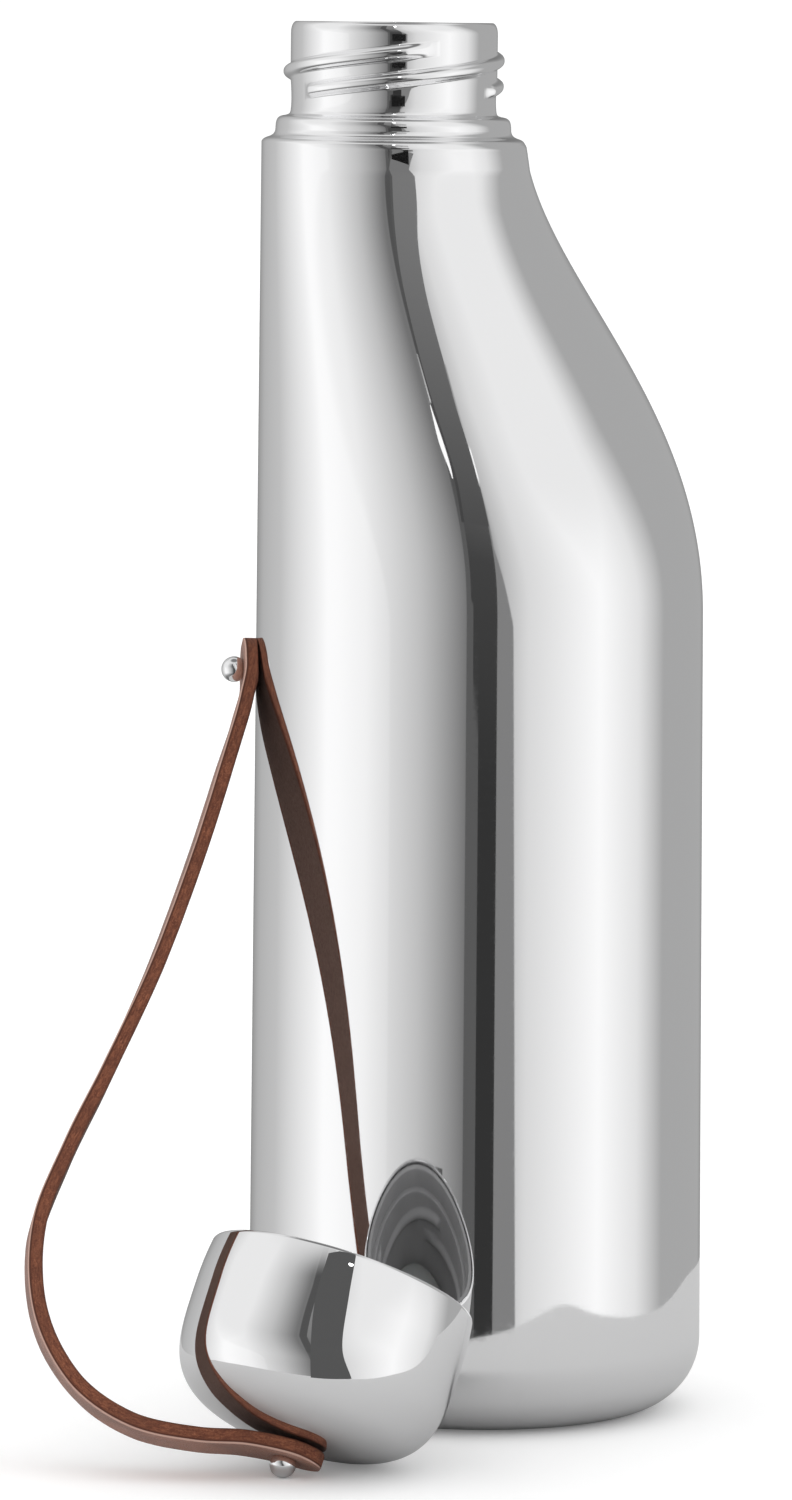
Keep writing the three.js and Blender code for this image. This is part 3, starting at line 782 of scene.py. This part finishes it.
def strap():
    section = strap_section()
    distances = strap_distances()
    point, normal, width = strap_frames(distances)
    to_tip = np.minimum(distances, STRAP_LENGTH - distances)
    short = np.clip(STRAP_WIDTH / 2 - to_tip, 0, None) / (STRAP_WIDTH / 2)
    roundness = np.sqrt(np.clip(1 - short**2, 0.0004, 1))
    side = np.array([entry[0] for entry in section])
    depth = np.array([entry[1] for entry in section])
    inward = 1 - np.clip((0.3 - to_tip) / 0.3, 0, 1) ** 2 * 0.35
    sides = side[None, :] * roundness[:, None]
    depths = depth[None, :] * inward[:, None]
    place = np.stack([np.repeat(distances[:, None], len(side), 1), sides, depths], axis=-1).reshape(-1, 3)
    edge = np.array([entry[2] == 1 for entry in section])
    edge = np.repeat(edge[None, :], len(distances), 0).reshape(-1)
    rough = uneven(place, 2.2, 11) * 0.05 + uneven(place, 6.0, 5) * 0.035
    soft = uneven(place, 0.35, 3) * 0.05
    place_moved = place.copy()
    place_moved[:, 1] += np.sign(place[:, 1]) * np.where(edge, rough, 0)
    place_moved[:, 2] += soft * np.sign(place[:, 2]) + np.where(edge, 0, rough * 0.25)
    rows = np.repeat(np.arange(len(distances)), len(side))
    points = point[rows] + width[rows] * place_moved[:, 1:2] + normal[rows] * place_moved[:, 2:3]
    points = press_on_wall(points, place[:, 0])
    count = len(section)
    faces, kinds = [], []
    for i in range(len(distances) - 1):
        for j in range(count):
            k = (j + 1) % count
            faces.append((i * count + j, i * count + k, (i + 1) * count + k, (i + 1) * count + j))
            kinds.append(1 if section[j][2] == 1 or section[k][2] == 1 else section[j][2])
    last = (len(distances) - 1) * count
    faces.append(tuple(range(count))[::-1])
    faces.append(tuple(range(last, last + count)))
    kinds += [1, 1]
    mesh = bpy.data.meshes.new("leather_strap")
    mesh.from_pydata((points * MM).tolist(), [], faces)
    for paint in (GRAIN, CUT_EDGE, FLESH):
        mesh.materials.append(paint)
    mesh.polygons.foreach_set("material_index", kinds)
    mesh.shade_smooth()
    mesh.update()
    piece = bpy.data.objects.new("leather_strap", mesh)
    bpy.context.scene.collection.objects.link(piece)
    cut_holes(piece)
    mark_places(piece.data, points, place)
    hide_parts("strap_tab", "strap_loop")
    start, _, _ = strap_frames(np.array([BEND_START]))
    end, _, _ = strap_frames(np.array([BEND_END]))
    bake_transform(piece)
    return piece


def mark_places(mesh, points, place):
    """Each vertex takes the distance along, across and through the strap of the nearest point."""
    tree = KDTree(len(points))
    for index, point in enumerate(points * MM):
        tree.insert(point, index)
    tree.balance()
    nearest = [tree.find(vertex.co)[1] for vertex in mesh.vertices]
    layer = mesh.attributes.new("strap_place", "FLOAT_VECTOR", "POINT")
    layer.data.foreach_set("vector", place[nearest].astype(np.float32).reshape(-1))


def cut_holes(piece):
    """Cuts the two stud holes through the strap, and the dents that the balls press into it."""
    cap_point = Vector(route_point(STRAP_ROUTE[-2]))
    body_point = Vector(route_point(STRAP_ROUTE[1]))
    to_ball = STRAP_THICKNESS / 2 + BALL_STANDOFF
    outward = Vector((-1, 0, 0))
    tools = []
    for centre, axis, ball in (
        (body_point, outward, False),
        (cap_point, CAP_AXIS, False),
        (body_point + outward * to_ball, outward, True),
        (cap_point + CAP_AXIS * to_ball, CAP_AXIS, True),
    ):
        rod = bmesh.new()
        if ball:
            bmesh.ops.create_uvsphere(rod, u_segments=64, v_segments=48, radius=(BALL_RADIUS + 0.03) * MM)
        else:
            bmesh.ops.create_cone(rod, cap_ends=True, segments=64, radius1=STRAP_HOLE * MM,
                                  radius2=STRAP_HOLE * MM, depth=8 * MM)
        mesh = bpy.data.meshes.new("hole_tool")
        rod.to_mesh(mesh)
        rod.free()
        turn = Vector((0, 0, 1)).rotation_difference(axis).to_matrix().to_4x4()
        mesh.transform(Matrix.Translation(centre * MM) @ turn)
        mesh.materials.append(CUT_EDGE)
        tool = bpy.data.objects.new("hole_tool", mesh)
        bpy.context.scene.collection.objects.link(tool)
        tools.append(tool)
        modifier = piece.modifiers.new("hole", "BOOLEAN")
        modifier.operation = "DIFFERENCE"
        modifier.solver = "EXACT"
        modifier.object = tool
        if hasattr(modifier, "material_mode"):
            modifier.material_mode = "TRANSFER"
    bake_modifiers(piece)
    for tool in tools:
        bpy.data.objects.remove(tool)


def bake_modifiers(piece):
    """Replaces the mesh by what its modifiers make of it."""
    bpy.context.view_layer.update()
    graph = bpy.context.evaluated_depsgraph_get()
    mesh = bpy.data.meshes.new_from_object(piece.evaluated_get(graph))
    piece.modifiers.clear()
    piece.data = mesh


# ------------------------------------------------------------------ the cap
# In the cap's own frame its rim is at height 0 and its dome towards +Z.

CAP_JOINT = next(joint for joint in frame["joints"] if joint["name"] == "cap_swivel")
CAP_AXIS = Vector(CAP_JOINT["axis"]).normalized()
CAP_PLACE = Vector(route_point(STRAP_ROUTE[-2])) - CAP_AXIS * (CAP_HEIGHT + GAP + STRAP_THICKNESS / 2)
CAP_FRAME = (
    Matrix.Translation(CAP_PLACE * MM)
    @ Vector((0, 0, 1)).rotation_difference(CAP_AXIS).to_matrix().to_4x4()
)


def cap_profile(steps, inset=0.0):
    """The cap's outer line from the rim to the top as (radius, height), evenly spaced."""
    low = np.linspace(0.35, CAP_WIDEST, 60, endpoint=False)
    below = (CAP_WIDEST - low) / CAP_WIDEST
    flank = np.stack([CAP_RADIUS - (CAP_RADIUS - CAP_RIM_RADIUS) * below**2, low], axis=1)
    turn = np.linspace(0, math.pi / 2, 4000)
    radius = CAP_RADIUS * np.cos(turn) ** (2 / CAP_ROUND_OUT)
    height = CAP_WIDEST + (CAP_HEIGHT - CAP_WIDEST) * np.sin(turn) ** (2 / CAP_ROUND_UP)
    whole = np.vstack([flank, np.stack([radius, height], axis=1)])
    step = np.linalg.norm(np.diff(whole, axis=0), axis=1)
    travelled = np.concatenate([[0], np.cumsum(step)])
    even = np.linspace(0, travelled[-1], steps)
    whole = np.stack([np.interp(even, travelled, whole[:, i]) for i in range(2)], axis=1)
    slope = np.gradient(whole, axis=0)
    slope /= np.linalg.norm(slope, axis=1)[:, None]
    return whole - inset * np.stack([slope[:, 1], -slope[:, 0]], axis=1)


def cap_radius(height):
    profile = cap_profile(900)
    return float(np.interp(height, profile[:, 1], profile[:, 0]))


def place_cap_piece(piece, node, paint):
    piece.data.transform(CAP_FRAME)
    return settle(piece, "cap", node, paint)


def cap_shell():
    outer = [tuple(p) for p in cap_profile(190) if p[0] > CAP_STUD_HOLE + 0.1]
    inner = [tuple(p) for p in cap_profile(60, CAP_WALL) if p[0] > CAP_STUD_HOLE + 0.1][::-1]
    lip = CAP_WALL / 2
    rings = [
        *arc(CAP_RIM_RADIUS - lip, 0.35, lip, -150, -12, 9),
        *outer,
        (CAP_STUD_HOLE, CAP_HEIGHT),
        (CAP_STUD_HOLE, CAP_HEIGHT - CAP_WALL),
        *inner,
    ]
    piece = revolve("cap_shell_polished", rings, 288)
    return place_cap_piece(piece, "cap_shell", MIRROR)


def cap_liner():
    clearance = CAP_WALL + GAP
    heights = [0.8, 3, 7, 11, 14, 17, 19, 21.4]
    step_in = [0, 0, 0, 0.05, 0.1, 0.3, 0.5, 1]
    outside = [(cap_radius(h) - clearance - extra, h) for h, extra in zip(heights, step_in)]
    rings = [
        (0, CAP_BORE_DEPTH),
        *line((1, CAP_BORE_DEPTH), (CAP_BORE - 0.4, CAP_BORE_DEPTH), 8),
        *arc(CAP_BORE - 0.4, CAP_BORE_DEPTH - 0.4, 0.4, 90, 0, 5)[:-1],
        *line((CAP_BORE, CAP_BORE_DEPTH - 0.45), (CAP_BORE, CAP_COUNTERBORE_DEPTH + 0.3), 130),
        *arc(CAP_BORE + 0.3, CAP_COUNTERBORE_DEPTH + 0.3, 0.3, 190, 270, 4),
        (CAP_COUNTERBORE, CAP_COUNTERBORE_DEPTH),
        (CAP_COUNTERBORE, 1.05),
        *arc(CAP_COUNTERBORE + 0.25, 1.05, 0.25, 180, 270, 4),
        *outside,
        (0, heights[-1]),
    ]
    shape = thread_shape(CAP_BORE, -1, 0, 150, 7.5, THREAD_RISE * 150 / THREAD_SPAN, CAP_BORE_DEPTH - 2)
    piece = revolve("cap_insert_moulded", rings, 300, shape, sharp=50)
    return place_cap_piece(piece, "cap_liner", INSERT)


def cap_seal():
    inner, outer, low, high, soft = 12.6, 17.2, 18.3, CAP_BORE_DEPTH - GAP, 0.4
    rings = [
        *arc(outer - soft, low + soft, soft, -90, 0, 6),
        (outer, high),
        (inner, high),
        *arc(inner + soft, low + soft, soft, 180, 270, 6),
    ]
    piece = revolve("cap_seal_ring", rings, 144)
    return place_cap_piece(piece, "cap_seal", SILICONE)


def cap_stud():
    shank_foot = 22.6
    ball_height = CAP_HEIGHT + GAP + STRAP_THICKNESS + BALL_STANDOFF
    rings = stud_rings(0.1, SHANK_RADIUS + 0.01, ball_height - shank_foot)
    piece = revolve("cap_stud_ball", rings, 72)
    piece.data.transform(Matrix.Translation((0, 0, shank_foot * MM)))
    return place_cap_piece(piece, "cap_stud", MIRROR)


def dress_hidden_nodes():
    """The inner pieces keep their CAD shape and get the materials they are made of."""
    paints = {
        "base_pan": SATIN,
        "vacuum_seal": SOLDER,
        "getter": SOLDER,
        "cap_insulation": FOAM,
        "cap_stud_washer": SATIN,
        "cap_stud_nut": SATIN,
    }
    for node, paint in paints.items():
        mesh = frame["nodes"][node].data
        mesh.materials.clear()
        mesh.materials.append(paint)


# ------------------------------------------------------------------ studio

CAMERA_TURN = math.radians(5.5)       # from -Y towards -X
CAMERA_DISTANCE = 1.28
CAMERA_HEIGHT = 0.225
CAMERA_PAN = math.radians(-0.602)
CAMERA_TILT = math.radians(5.341)
CAMERA_ROLL = math.radians(0.683)
LENS = 192.88
TO_CAMERA = Vector((-math.sin(CAMERA_TURN), -math.cos(CAMERA_TURN), 0))
TO_RIGHT = Vector((math.cos(CAMERA_TURN), -math.sin(CAMERA_TURN), 0))

# The studio's two soft panels: brightness on a screen, at degrees round from the camera.
# Positive is to the camera's right. Each is brightest well out to its side, and falls off
# behind the object and towards the slot that the panels leave at the camera.
PANELS = [
    (-180, 120), (-150, 175), (-125, 190), (-85, 248), (-60, 235), (-30, 190), (-5, 110),
    (10, 150), (14, 185), (25, 215), (65, 250), (90, 225), (110, 165), (160, 165), (180, 120),
]
PANEL_RISE = 22                       # degrees up where they lean and dim the most
PANEL_LEAN = 4                        # degrees that they have moved to the left there
PANEL_FOOT_LEVEL = 250                # the brightest that they get at the foot and at the top
PANEL_TOP_LEVEL = 232

# The slot's own brightness at degrees up.
SLOT = [(-10, 50), (-5, 50), (-4, 60), (5, 65), (15, 90), (25, 120), (40, 135)]
SLOT_LEFT = -4.4
SLOT_RIGHT = 9.4
MIRROR_TONE = 0.93
GROUND_SHARE = 0.25                   # how much of a wall's light is left straight down
OPEN = 1.2                            # more light than any wall gives
SOFT_LIGHT = 1.08                     # the even light that falls on everything
FLOOR_REACH = 6000
FLOOR_TONE = 0.965
FLOOR_GLOW = 0.14
TABLE_TONE = 0.58
BLACK_CARD_TONE = 0.012
CEILING_LEVEL = 222                   # at its edge, and from 76 degrees up
CEILING_TOP_LEVEL = 120
SHEET_EDGE = -46                      # degrees round, from 8 degrees below level down
SHEET_BEND = 25                       # how much further left it is at 5 degrees up
SHEET_GAIN = 0.06                     # more light than the bare panel's
RETURN_EDGE = 15.3                    # degrees round, at level
RETURN_LEVEL = 126
LEFT_RETURN_LEVEL = 88                # up to 7 degrees up, and from 14
LEFT_RETURN_TOP_LEVEL = 80
LAMP_LIGHT = 14
TABLE_OUTLINE = [
    (-105, -60), (-85, -95), (-10, -140), (100, -145), (125, -105), (148, -10), (140, 90), (60, 150),
    (-40, 150), (-105, 20),
]


def screen_to_light(level):
    """The light that the polish shows as this level out of 255 on a screen."""
    share = level / 255
    light = share / 12.92 if share <= 0.04045 else ((share + 0.055) / 1.055) ** 2.4
    return light / MIRROR_TONE


def wall_light(n, direction):
    """The studio's light from a direction: panels, slot, ceiling and a lamp."""
    def part(axis):
        node = n.add("ShaderNodeVectorMath", operation="DOT_PRODUCT")
        n.put(node, 0, direction)
        n.put(node, 1, tuple(axis))
        return node.outputs["Value"]

    def darkest(*lights):
        least = lights[0]
        for light in lights[1:]:
            least = n.math("MINIMUM", least, light)
        return least

    to_degrees = 180 / math.pi
    turn = n.math("MULTIPLY", n.math("ARCTAN2", part(TO_RIGHT), part(TO_CAMERA)), to_degrees)
    rise = n.math("MULTIPLY", n.math("ARCSINE", part((0, 0, 1))), to_degrees)
    above = n.math("MINIMUM", n.math("MAXIMUM", n.math("SUBTRACT", rise, 2.0), 0.0), 24.0)
    across = n.math("ADD", turn, n.math("MULTIPLY", n.math("POWER", above, 1.6), 0.06))

    # higher up, the panels lean to the left and their bright middles are dimmer
    leaning = n.math("ADD", across, n.remap(rise, 0.0, PANEL_RISE, 0.0, PANEL_LEAN))
    panels = n.ramp(leaning, -180, 180, [(place, screen_to_light(level)) for place, level in PANELS])
    brightest = n.remap(rise, 0.0, PANEL_RISE, screen_to_light(PANEL_FOOT_LEVEL),
                        screen_to_light(PANEL_TOP_LEVEL))
    walls = n.math("MINIMUM", panels, brightest)

    # a second sheet hangs in front of the left panel, with a curved edge that blurs further up
    bend = n.math("POWER", n.math("DIVIDE", n.math("MAXIMUM", n.math("ADD", rise, 8.0), 0.0), 13.0), 3.0)
    sheet_edge = n.math("SUBTRACT", SHEET_EDGE, n.math("MULTIPLY", bend, SHEET_BEND))
    blur = n.remap(rise, 0.0, 8.0, 0.8, 16.0)
    past_edge = n.math("DIVIDE", n.math("SUBTRACT", turn, sheet_edge), blur)
    sheet = n.math("MULTIPLY", n.remap(past_edge, -1.0, 1.0, 1.0, 0.0), n.remap(turn, -95.0, -75.0))
    walls = n.math("MULTIPLY", walls, n.math("ADD", 1.0, n.math("MULTIPLY", sheet, SHEET_GAIN)))

    # the panels' returns show as grey margins on both sides of the slot
    return_edge = n.math("MAXIMUM", n.math("SUBTRACT", RETURN_EDGE, n.math("MULTIPLY", rise, 0.65)), 10.5)
    past_return = n.math("SUBTRACT", across, return_edge)
    right_return = n.math(
        "MAXIMUM",
        n.remap(past_return, -0.9, 0.9, screen_to_light(RETURN_LEVEL), OPEN),
        n.remap(across, 0.0, 2.0, OPEN, 0.0),
    )
    left_tone = n.remap(rise, 7.0, 14.0, screen_to_light(LEFT_RETURN_LEVEL),
                        screen_to_light(LEFT_RETURN_TOP_LEVEL))
    left_start = n.remap(rise, 7.0, 14.0, SLOT_LEFT - 3.0, SLOT_LEFT - 8.0)
    left_width = n.remap(rise, 7.0, 14.0, 1.1, 6.6)
    past_left = n.math("DIVIDE", n.math("SUBTRACT", across, left_start), left_width)
    left_return = n.math(
        "MAXIMUM",
        n.remap(past_left, 0.0, 1.0, OPEN, left_tone),
        n.remap(across, 0.0, 2.0, 0.0, OPEN),
    )
    slot_tone = n.ramp(rise, -10, 40, [(place, screen_to_light(level)) for place, level in SLOT])
    slot_edge = n.math(
        "SUBTRACT",
        n.remap(rise, -4.7, -4.3, -0.5, -3.4),
        n.remap(rise, -1.2, -0.4, 0.0, -3.4 - SLOT_LEFT),
    )
    slot = n.math(
        "MAXIMUM",
        n.remap(n.math("SUBTRACT", across, slot_edge), -0.4, 0.4, OPEN, slot_tone),
        n.remap(across, SLOT_RIGHT - 0.4, SLOT_RIGHT + 0.5, slot_tone, OPEN),
    )
    lit = darkest(walls, right_return, left_return, slot)

    lit = n.math("MULTIPLY", lit, n.remap(rise, -48.0, -24.0, GROUND_SHARE, 1.0))
    ceiling = n.remap(rise, 42.0, 60.0)
    ceiling_tone = n.remap(rise, 60.0, 76.0, screen_to_light(CEILING_LEVEL),
                           screen_to_light(CEILING_TOP_LEVEL))
    lit = n.math("ADD", n.math("MULTIPLY", lit, n.math("SUBTRACT", 1.0, ceiling)),
                 n.math("MULTIPLY", ceiling, ceiling_tone))
    lamp = (TO_CAMERA + TO_RIGHT * 0.02 + Vector((0, 0, 0.9))).normalized()
    lamp_light = n.remap(part(lamp), math.cos(math.radians(1.6)), math.cos(math.radians(1.1)),
                         0.0, LAMP_LIGHT)
    return n.math("ADD", lit, lamp_light)


def studio_world():
    world = bpy.data.worlds.new("studio")
    world.use_nodes = True
    n = Nodes(world.node_tree)
    direction = n.add("ShaderNodeTexCoord").outputs["Generated"]
    lit = wall_light(n, direction)
    glossy_ray = n.add("ShaderNodeLightPath").outputs["Is Glossy Ray"]
    background = n.add("ShaderNodeBackground")
    n.put(background, "Color", n.mix(glossy_ray, (SOFT_LIGHT,) * 3, lit))
    output = n.add("ShaderNodeOutputWorld")
    n.link(background.outputs[0], output.inputs["Surface"])
    bpy.context.scene.world = world


def staged(name, points, faces, paint):
    """Something of the studio, from points in millimetres."""
    mesh = bpy.data.meshes.new(name)
    mesh.from_pydata((np.array(points, float) * MM).tolist(), [], faces)
    mesh.materials.append(paint)
    thing = bpy.data.objects.new(name, mesh)
    bpy.context.scene.collection.objects.link(thing)
    return thing


def only_mirrored(thing):
    """The thing shows in the polish and nowhere else."""
    thing.visible_camera = False
    thing.visible_diffuse = False
    thing.visible_shadow = False


def flat_paint(name, tone):
    return material(name, Roughness=0.7, Specular_IOR_Level=0.1, Base_Color=(tone, tone, tone, 1))


def lit_paint(name, light):
    return material(name, Emission_Strength=light, Emission_Color=(1, 1, 1, 1),
                    Base_Color=(0, 0, 0, 1), Specular_IOR_Level=0.0)


def flat_rectangle(low, high, height):
    """The corners of a level rectangle."""
    return [(low[0], low[1], height), (high[0], low[1], height), (high[0], high[1], height),
            (low[0], high[1], height)]


def studio_floor():
    """The wide floor that the camera sees, and the small white table top that the polish mirrors."""
    floor = staged("floor", flat_rectangle((-FLOOR_REACH, -FLOOR_REACH), (FLOOR_REACH, FLOOR_REACH), -0.1),
                   [(0, 1, 2, 3)], flat_paint("floor", FLOOR_TONE))
    floor.visible_glossy = False
    glow = floor.data.materials[0].node_tree.nodes["Principled BSDF"]
    glow.inputs["Emission Color"].default_value = (1, 1, 1, 1)
    glow.inputs["Emission Strength"].default_value = FLOOR_GLOW

    outline = centripetal([*TABLE_OUTLINE, TABLE_OUTLINE[0]], 8)[:-1]
    table = staged("table_top", [(x, y, 0.02) for x, y in outline],
                   [tuple(range(len(outline)))], flat_paint("table_top", TABLE_TONE))
    only_mirrored(table)


def hanging_point(right, height, forward):
    """A place in front of the neck's axis: to the camera's right, up, and towards the camera."""
    return np.array((NECK_CENTRE, 0, height)) + right * np.array(TO_RIGHT) + forward * np.array(TO_CAMERA)


def shoulder_card():
    """A small black card that hangs close in front of the shoulder's lip."""
    corners = [(-0.3, 201.1), (4.7, 200.4), (4.7, 202.8), (-0.3, 201.9)]
    card = staged("shoulder_card", [hanging_point(*corner, 30) for corner in corners], [(0, 1, 2, 3)],
                  flat_paint("shoulder_card", BLACK_CARD_TONE))
    only_mirrored(card)


def neck_cards():
    """Black bars before the neck, which show where its wall stands upright."""
    left, right = -1, 8.8
    bars = [(207.8, 210.5), (213.9, 215), (218.2, 219.5)]
    points, faces = [], []
    for low, high in bars:
        faces.append(tuple(len(points) + i for i in range(4)))
        points += [hanging_point(*corner, 45)
                   for corner in ((left, low), (right, low), (right, high), (left, high))]
    only_mirrored(staged("neck_cards", points, faces, flat_paint("neck_cards", BLACK_CARD_TONE)))


def slot_forward(height):
    """The slot's plane leans back: its distance before the neck's axis at a height."""
    return 48.7 + (205 - height) * 0.252


def hanging_strip(name, rows, levels):
    """A glowing strip in the slot's plane, from rows of (height, left, right) and their levels."""
    points, lights, faces = [], [], []
    heights = np.linspace(rows[0][0], rows[-1][0], 60)
    known = centripetal(rows, 12)[::-1]
    tones = np.array(levels, float)[::-1]
    for i, height in enumerate(heights):
        left, right = (float(np.interp(height, known[:, 0], known[:, k])) for k in (1, 2))
        points += [hanging_point(left, height, slot_forward(height)),
                   hanging_point(right, height, slot_forward(height))]
        lights += [screen_to_light(float(np.interp(height, tones[:, 0], tones[:, 1])))] * 2
        if i:
            faces.append((2 * i - 2, 2 * i - 1, 2 * i + 1, 2 * i))

    def glow(n, shader):
        tone = n.add("ShaderNodeAttribute", attribute_name="level").outputs["Fac"]
        n.put(shader, "Emission Color", tone)

    paint = material(name, glow, Emission_Strength=1.0, Base_Color=(0, 0, 0, 1), Specular_IOR_Level=0.0,
                     Roughness=1.0)
    strip = staged(name, points, faces, paint)
    layer = strip.data.attributes.new("level", "FLOAT", "POINT")
    layer.data.foreach_set("value", lights)
    only_mirrored(strip)


HOOD_LEVEL = 84


def cap_hood():
    """A dark band close before the cap, with one small lamp in it."""
    rows = [
        ((-22, 37, 78.5), (-17.5, 37, 77.5)),
        ((-24, 30, 82), (-18.5, 30, 81.5)),
        ((-24.5, 22.5, 85), (-19, 22.5, 84.5)),
        ((-24.5, 17.5, 85), (-17.5, 17.5, 84.5)),
    ]
    edges = [centripetal([row[side] for row in rows], 8) for side in (0, 1)]
    points = [cap_side(*point) for pair in zip(*edges) for point in pair]
    faces = [(2 * i, 2 * i + 1, 2 * i + 3, 2 * i + 2) for i in range(len(edges[0]) - 1)]
    only_mirrored(staged("cap_hood", points, faces, lit_paint("cap_hood", screen_to_light(HOOD_LEVEL))))
    turns = np.radians(np.linspace(0, 360, 16, endpoint=False))
    dot = [cap_side(-18.4 + 0.4 * math.cos(a), 34.8 + 0.4 * math.sin(a), 78.75) for a in turns]
    only_mirrored(staged("cap_lamp", dot, [tuple(range(len(dot)))], lit_paint("cap_lamp", 3.0)))


def cap_side(right, height, forward):
    """A place to the camera's right, up, and towards the camera, from the frame's own origin."""
    return right * np.array(TO_RIGHT) + forward * np.array(TO_CAMERA) + (0, 0, height)


# The gap between the soft panels as the shoulder mirrors it: (height, left, right).
SLOT_ROWS = [
    (205.5, -1, 12), (201, -4, 8), (195, -5, 7), (182, -2.5, 9.5), (173, 0.5, 12), (165, 4, 15),
    (157.5, 7, 17.5), (149, 8.5, 20),
]
SLOT_LEVELS = [(205.5, 118), (173, 95), (149, 76)]
SLOT_SHADE = 1.1
SLOT_RIM = 0.3


def shoulder_slot():
    """The slot, its dark left margin, its thin lit rims and the two lamps that show past it."""
    hanging_strip("slot", SLOT_ROWS, SLOT_LEVELS)
    shade = [(height, left - 0.1, left + SLOT_SHADE) for height, left, _ in SLOT_ROWS]
    in_front("slot_shade", shade, [(205.5, 86), (173, 72), (149, 66)], 0.2)
    rim = [(height, right - SLOT_RIM, right + SLOT_RIM) for height, _, right in SLOT_ROWS[3:7]]
    rim_levels = [(182, 140), (173, 165), (166, 190), (165, 252), (159.5, 252), (157.5, 160)]
    in_front("slot_rim", rim, rim_levels, 0.3)
    rim = [(height, left - SLOT_RIM, left + SLOT_RIM) for height, left, _ in SLOT_ROWS[3:5]]
    in_front("left_rim", rim, [(182, 150), (173, 200)], 0.3)
    lamp = [(172.5, 0, 0.3), (165, 2, 4), (160, 5, 6), (158, 6, 6.4)]
    in_front("left_lamp", lamp, [(172.5, 255), (158, 255)], 0.4)


def in_front(name, rows, levels, nearer):
    """A strip a little nearer to the shoulder than the slot's plane."""
    hanging_strip(name, rows, levels)
    bpy.data.objects[name].location = -TO_CAMERA * nearer * MM


def studio_camera():
    data = bpy.data.cameras.new("camera")
    data.sensor_width = 36
    data.lens = LENS
    camera = bpy.data.objects.new("camera", data)
    heading = CAMERA_TURN + CAMERA_PAN
    ahead = Vector((
        math.sin(heading) * math.cos(CAMERA_TILT),
        math.cos(heading) * math.cos(CAMERA_TILT),
        -math.sin(CAMERA_TILT),
    ))
    level = Vector((math.cos(heading), -math.sin(heading), 0))
    upright = level.cross(ahead)
    right = level * math.cos(CAMERA_ROLL) + upright * math.sin(CAMERA_ROLL)
    up = upright * math.cos(CAMERA_ROLL) - level * math.sin(CAMERA_ROLL)
    place = TO_CAMERA * CAMERA_DISTANCE + Vector((0, 0, CAMERA_HEIGHT))
    turn = Matrix((right, up, -ahead)).transposed().to_4x4()
    camera.matrix_world = Matrix.Translation(place) @ turn
    bpy.context.scene.collection.objects.link(camera)
    bpy.context.scene.camera = camera
    bpy.context.scene.view_settings.view_transform = "Standard"


# ------------------------------------------------------------------ everything

studio_camera()
studio_world()
studio_floor()
shoulder_card()
neck_cards()
shoulder_slot()
cap_hood()

outer_shell()
base_cover()
inner_liner()
liner_base()
threaded_neck()
body_stud()
strap()
cap_shell()
cap_liner()
cap_seal()
cap_stud()
dress_hidden_nodes()
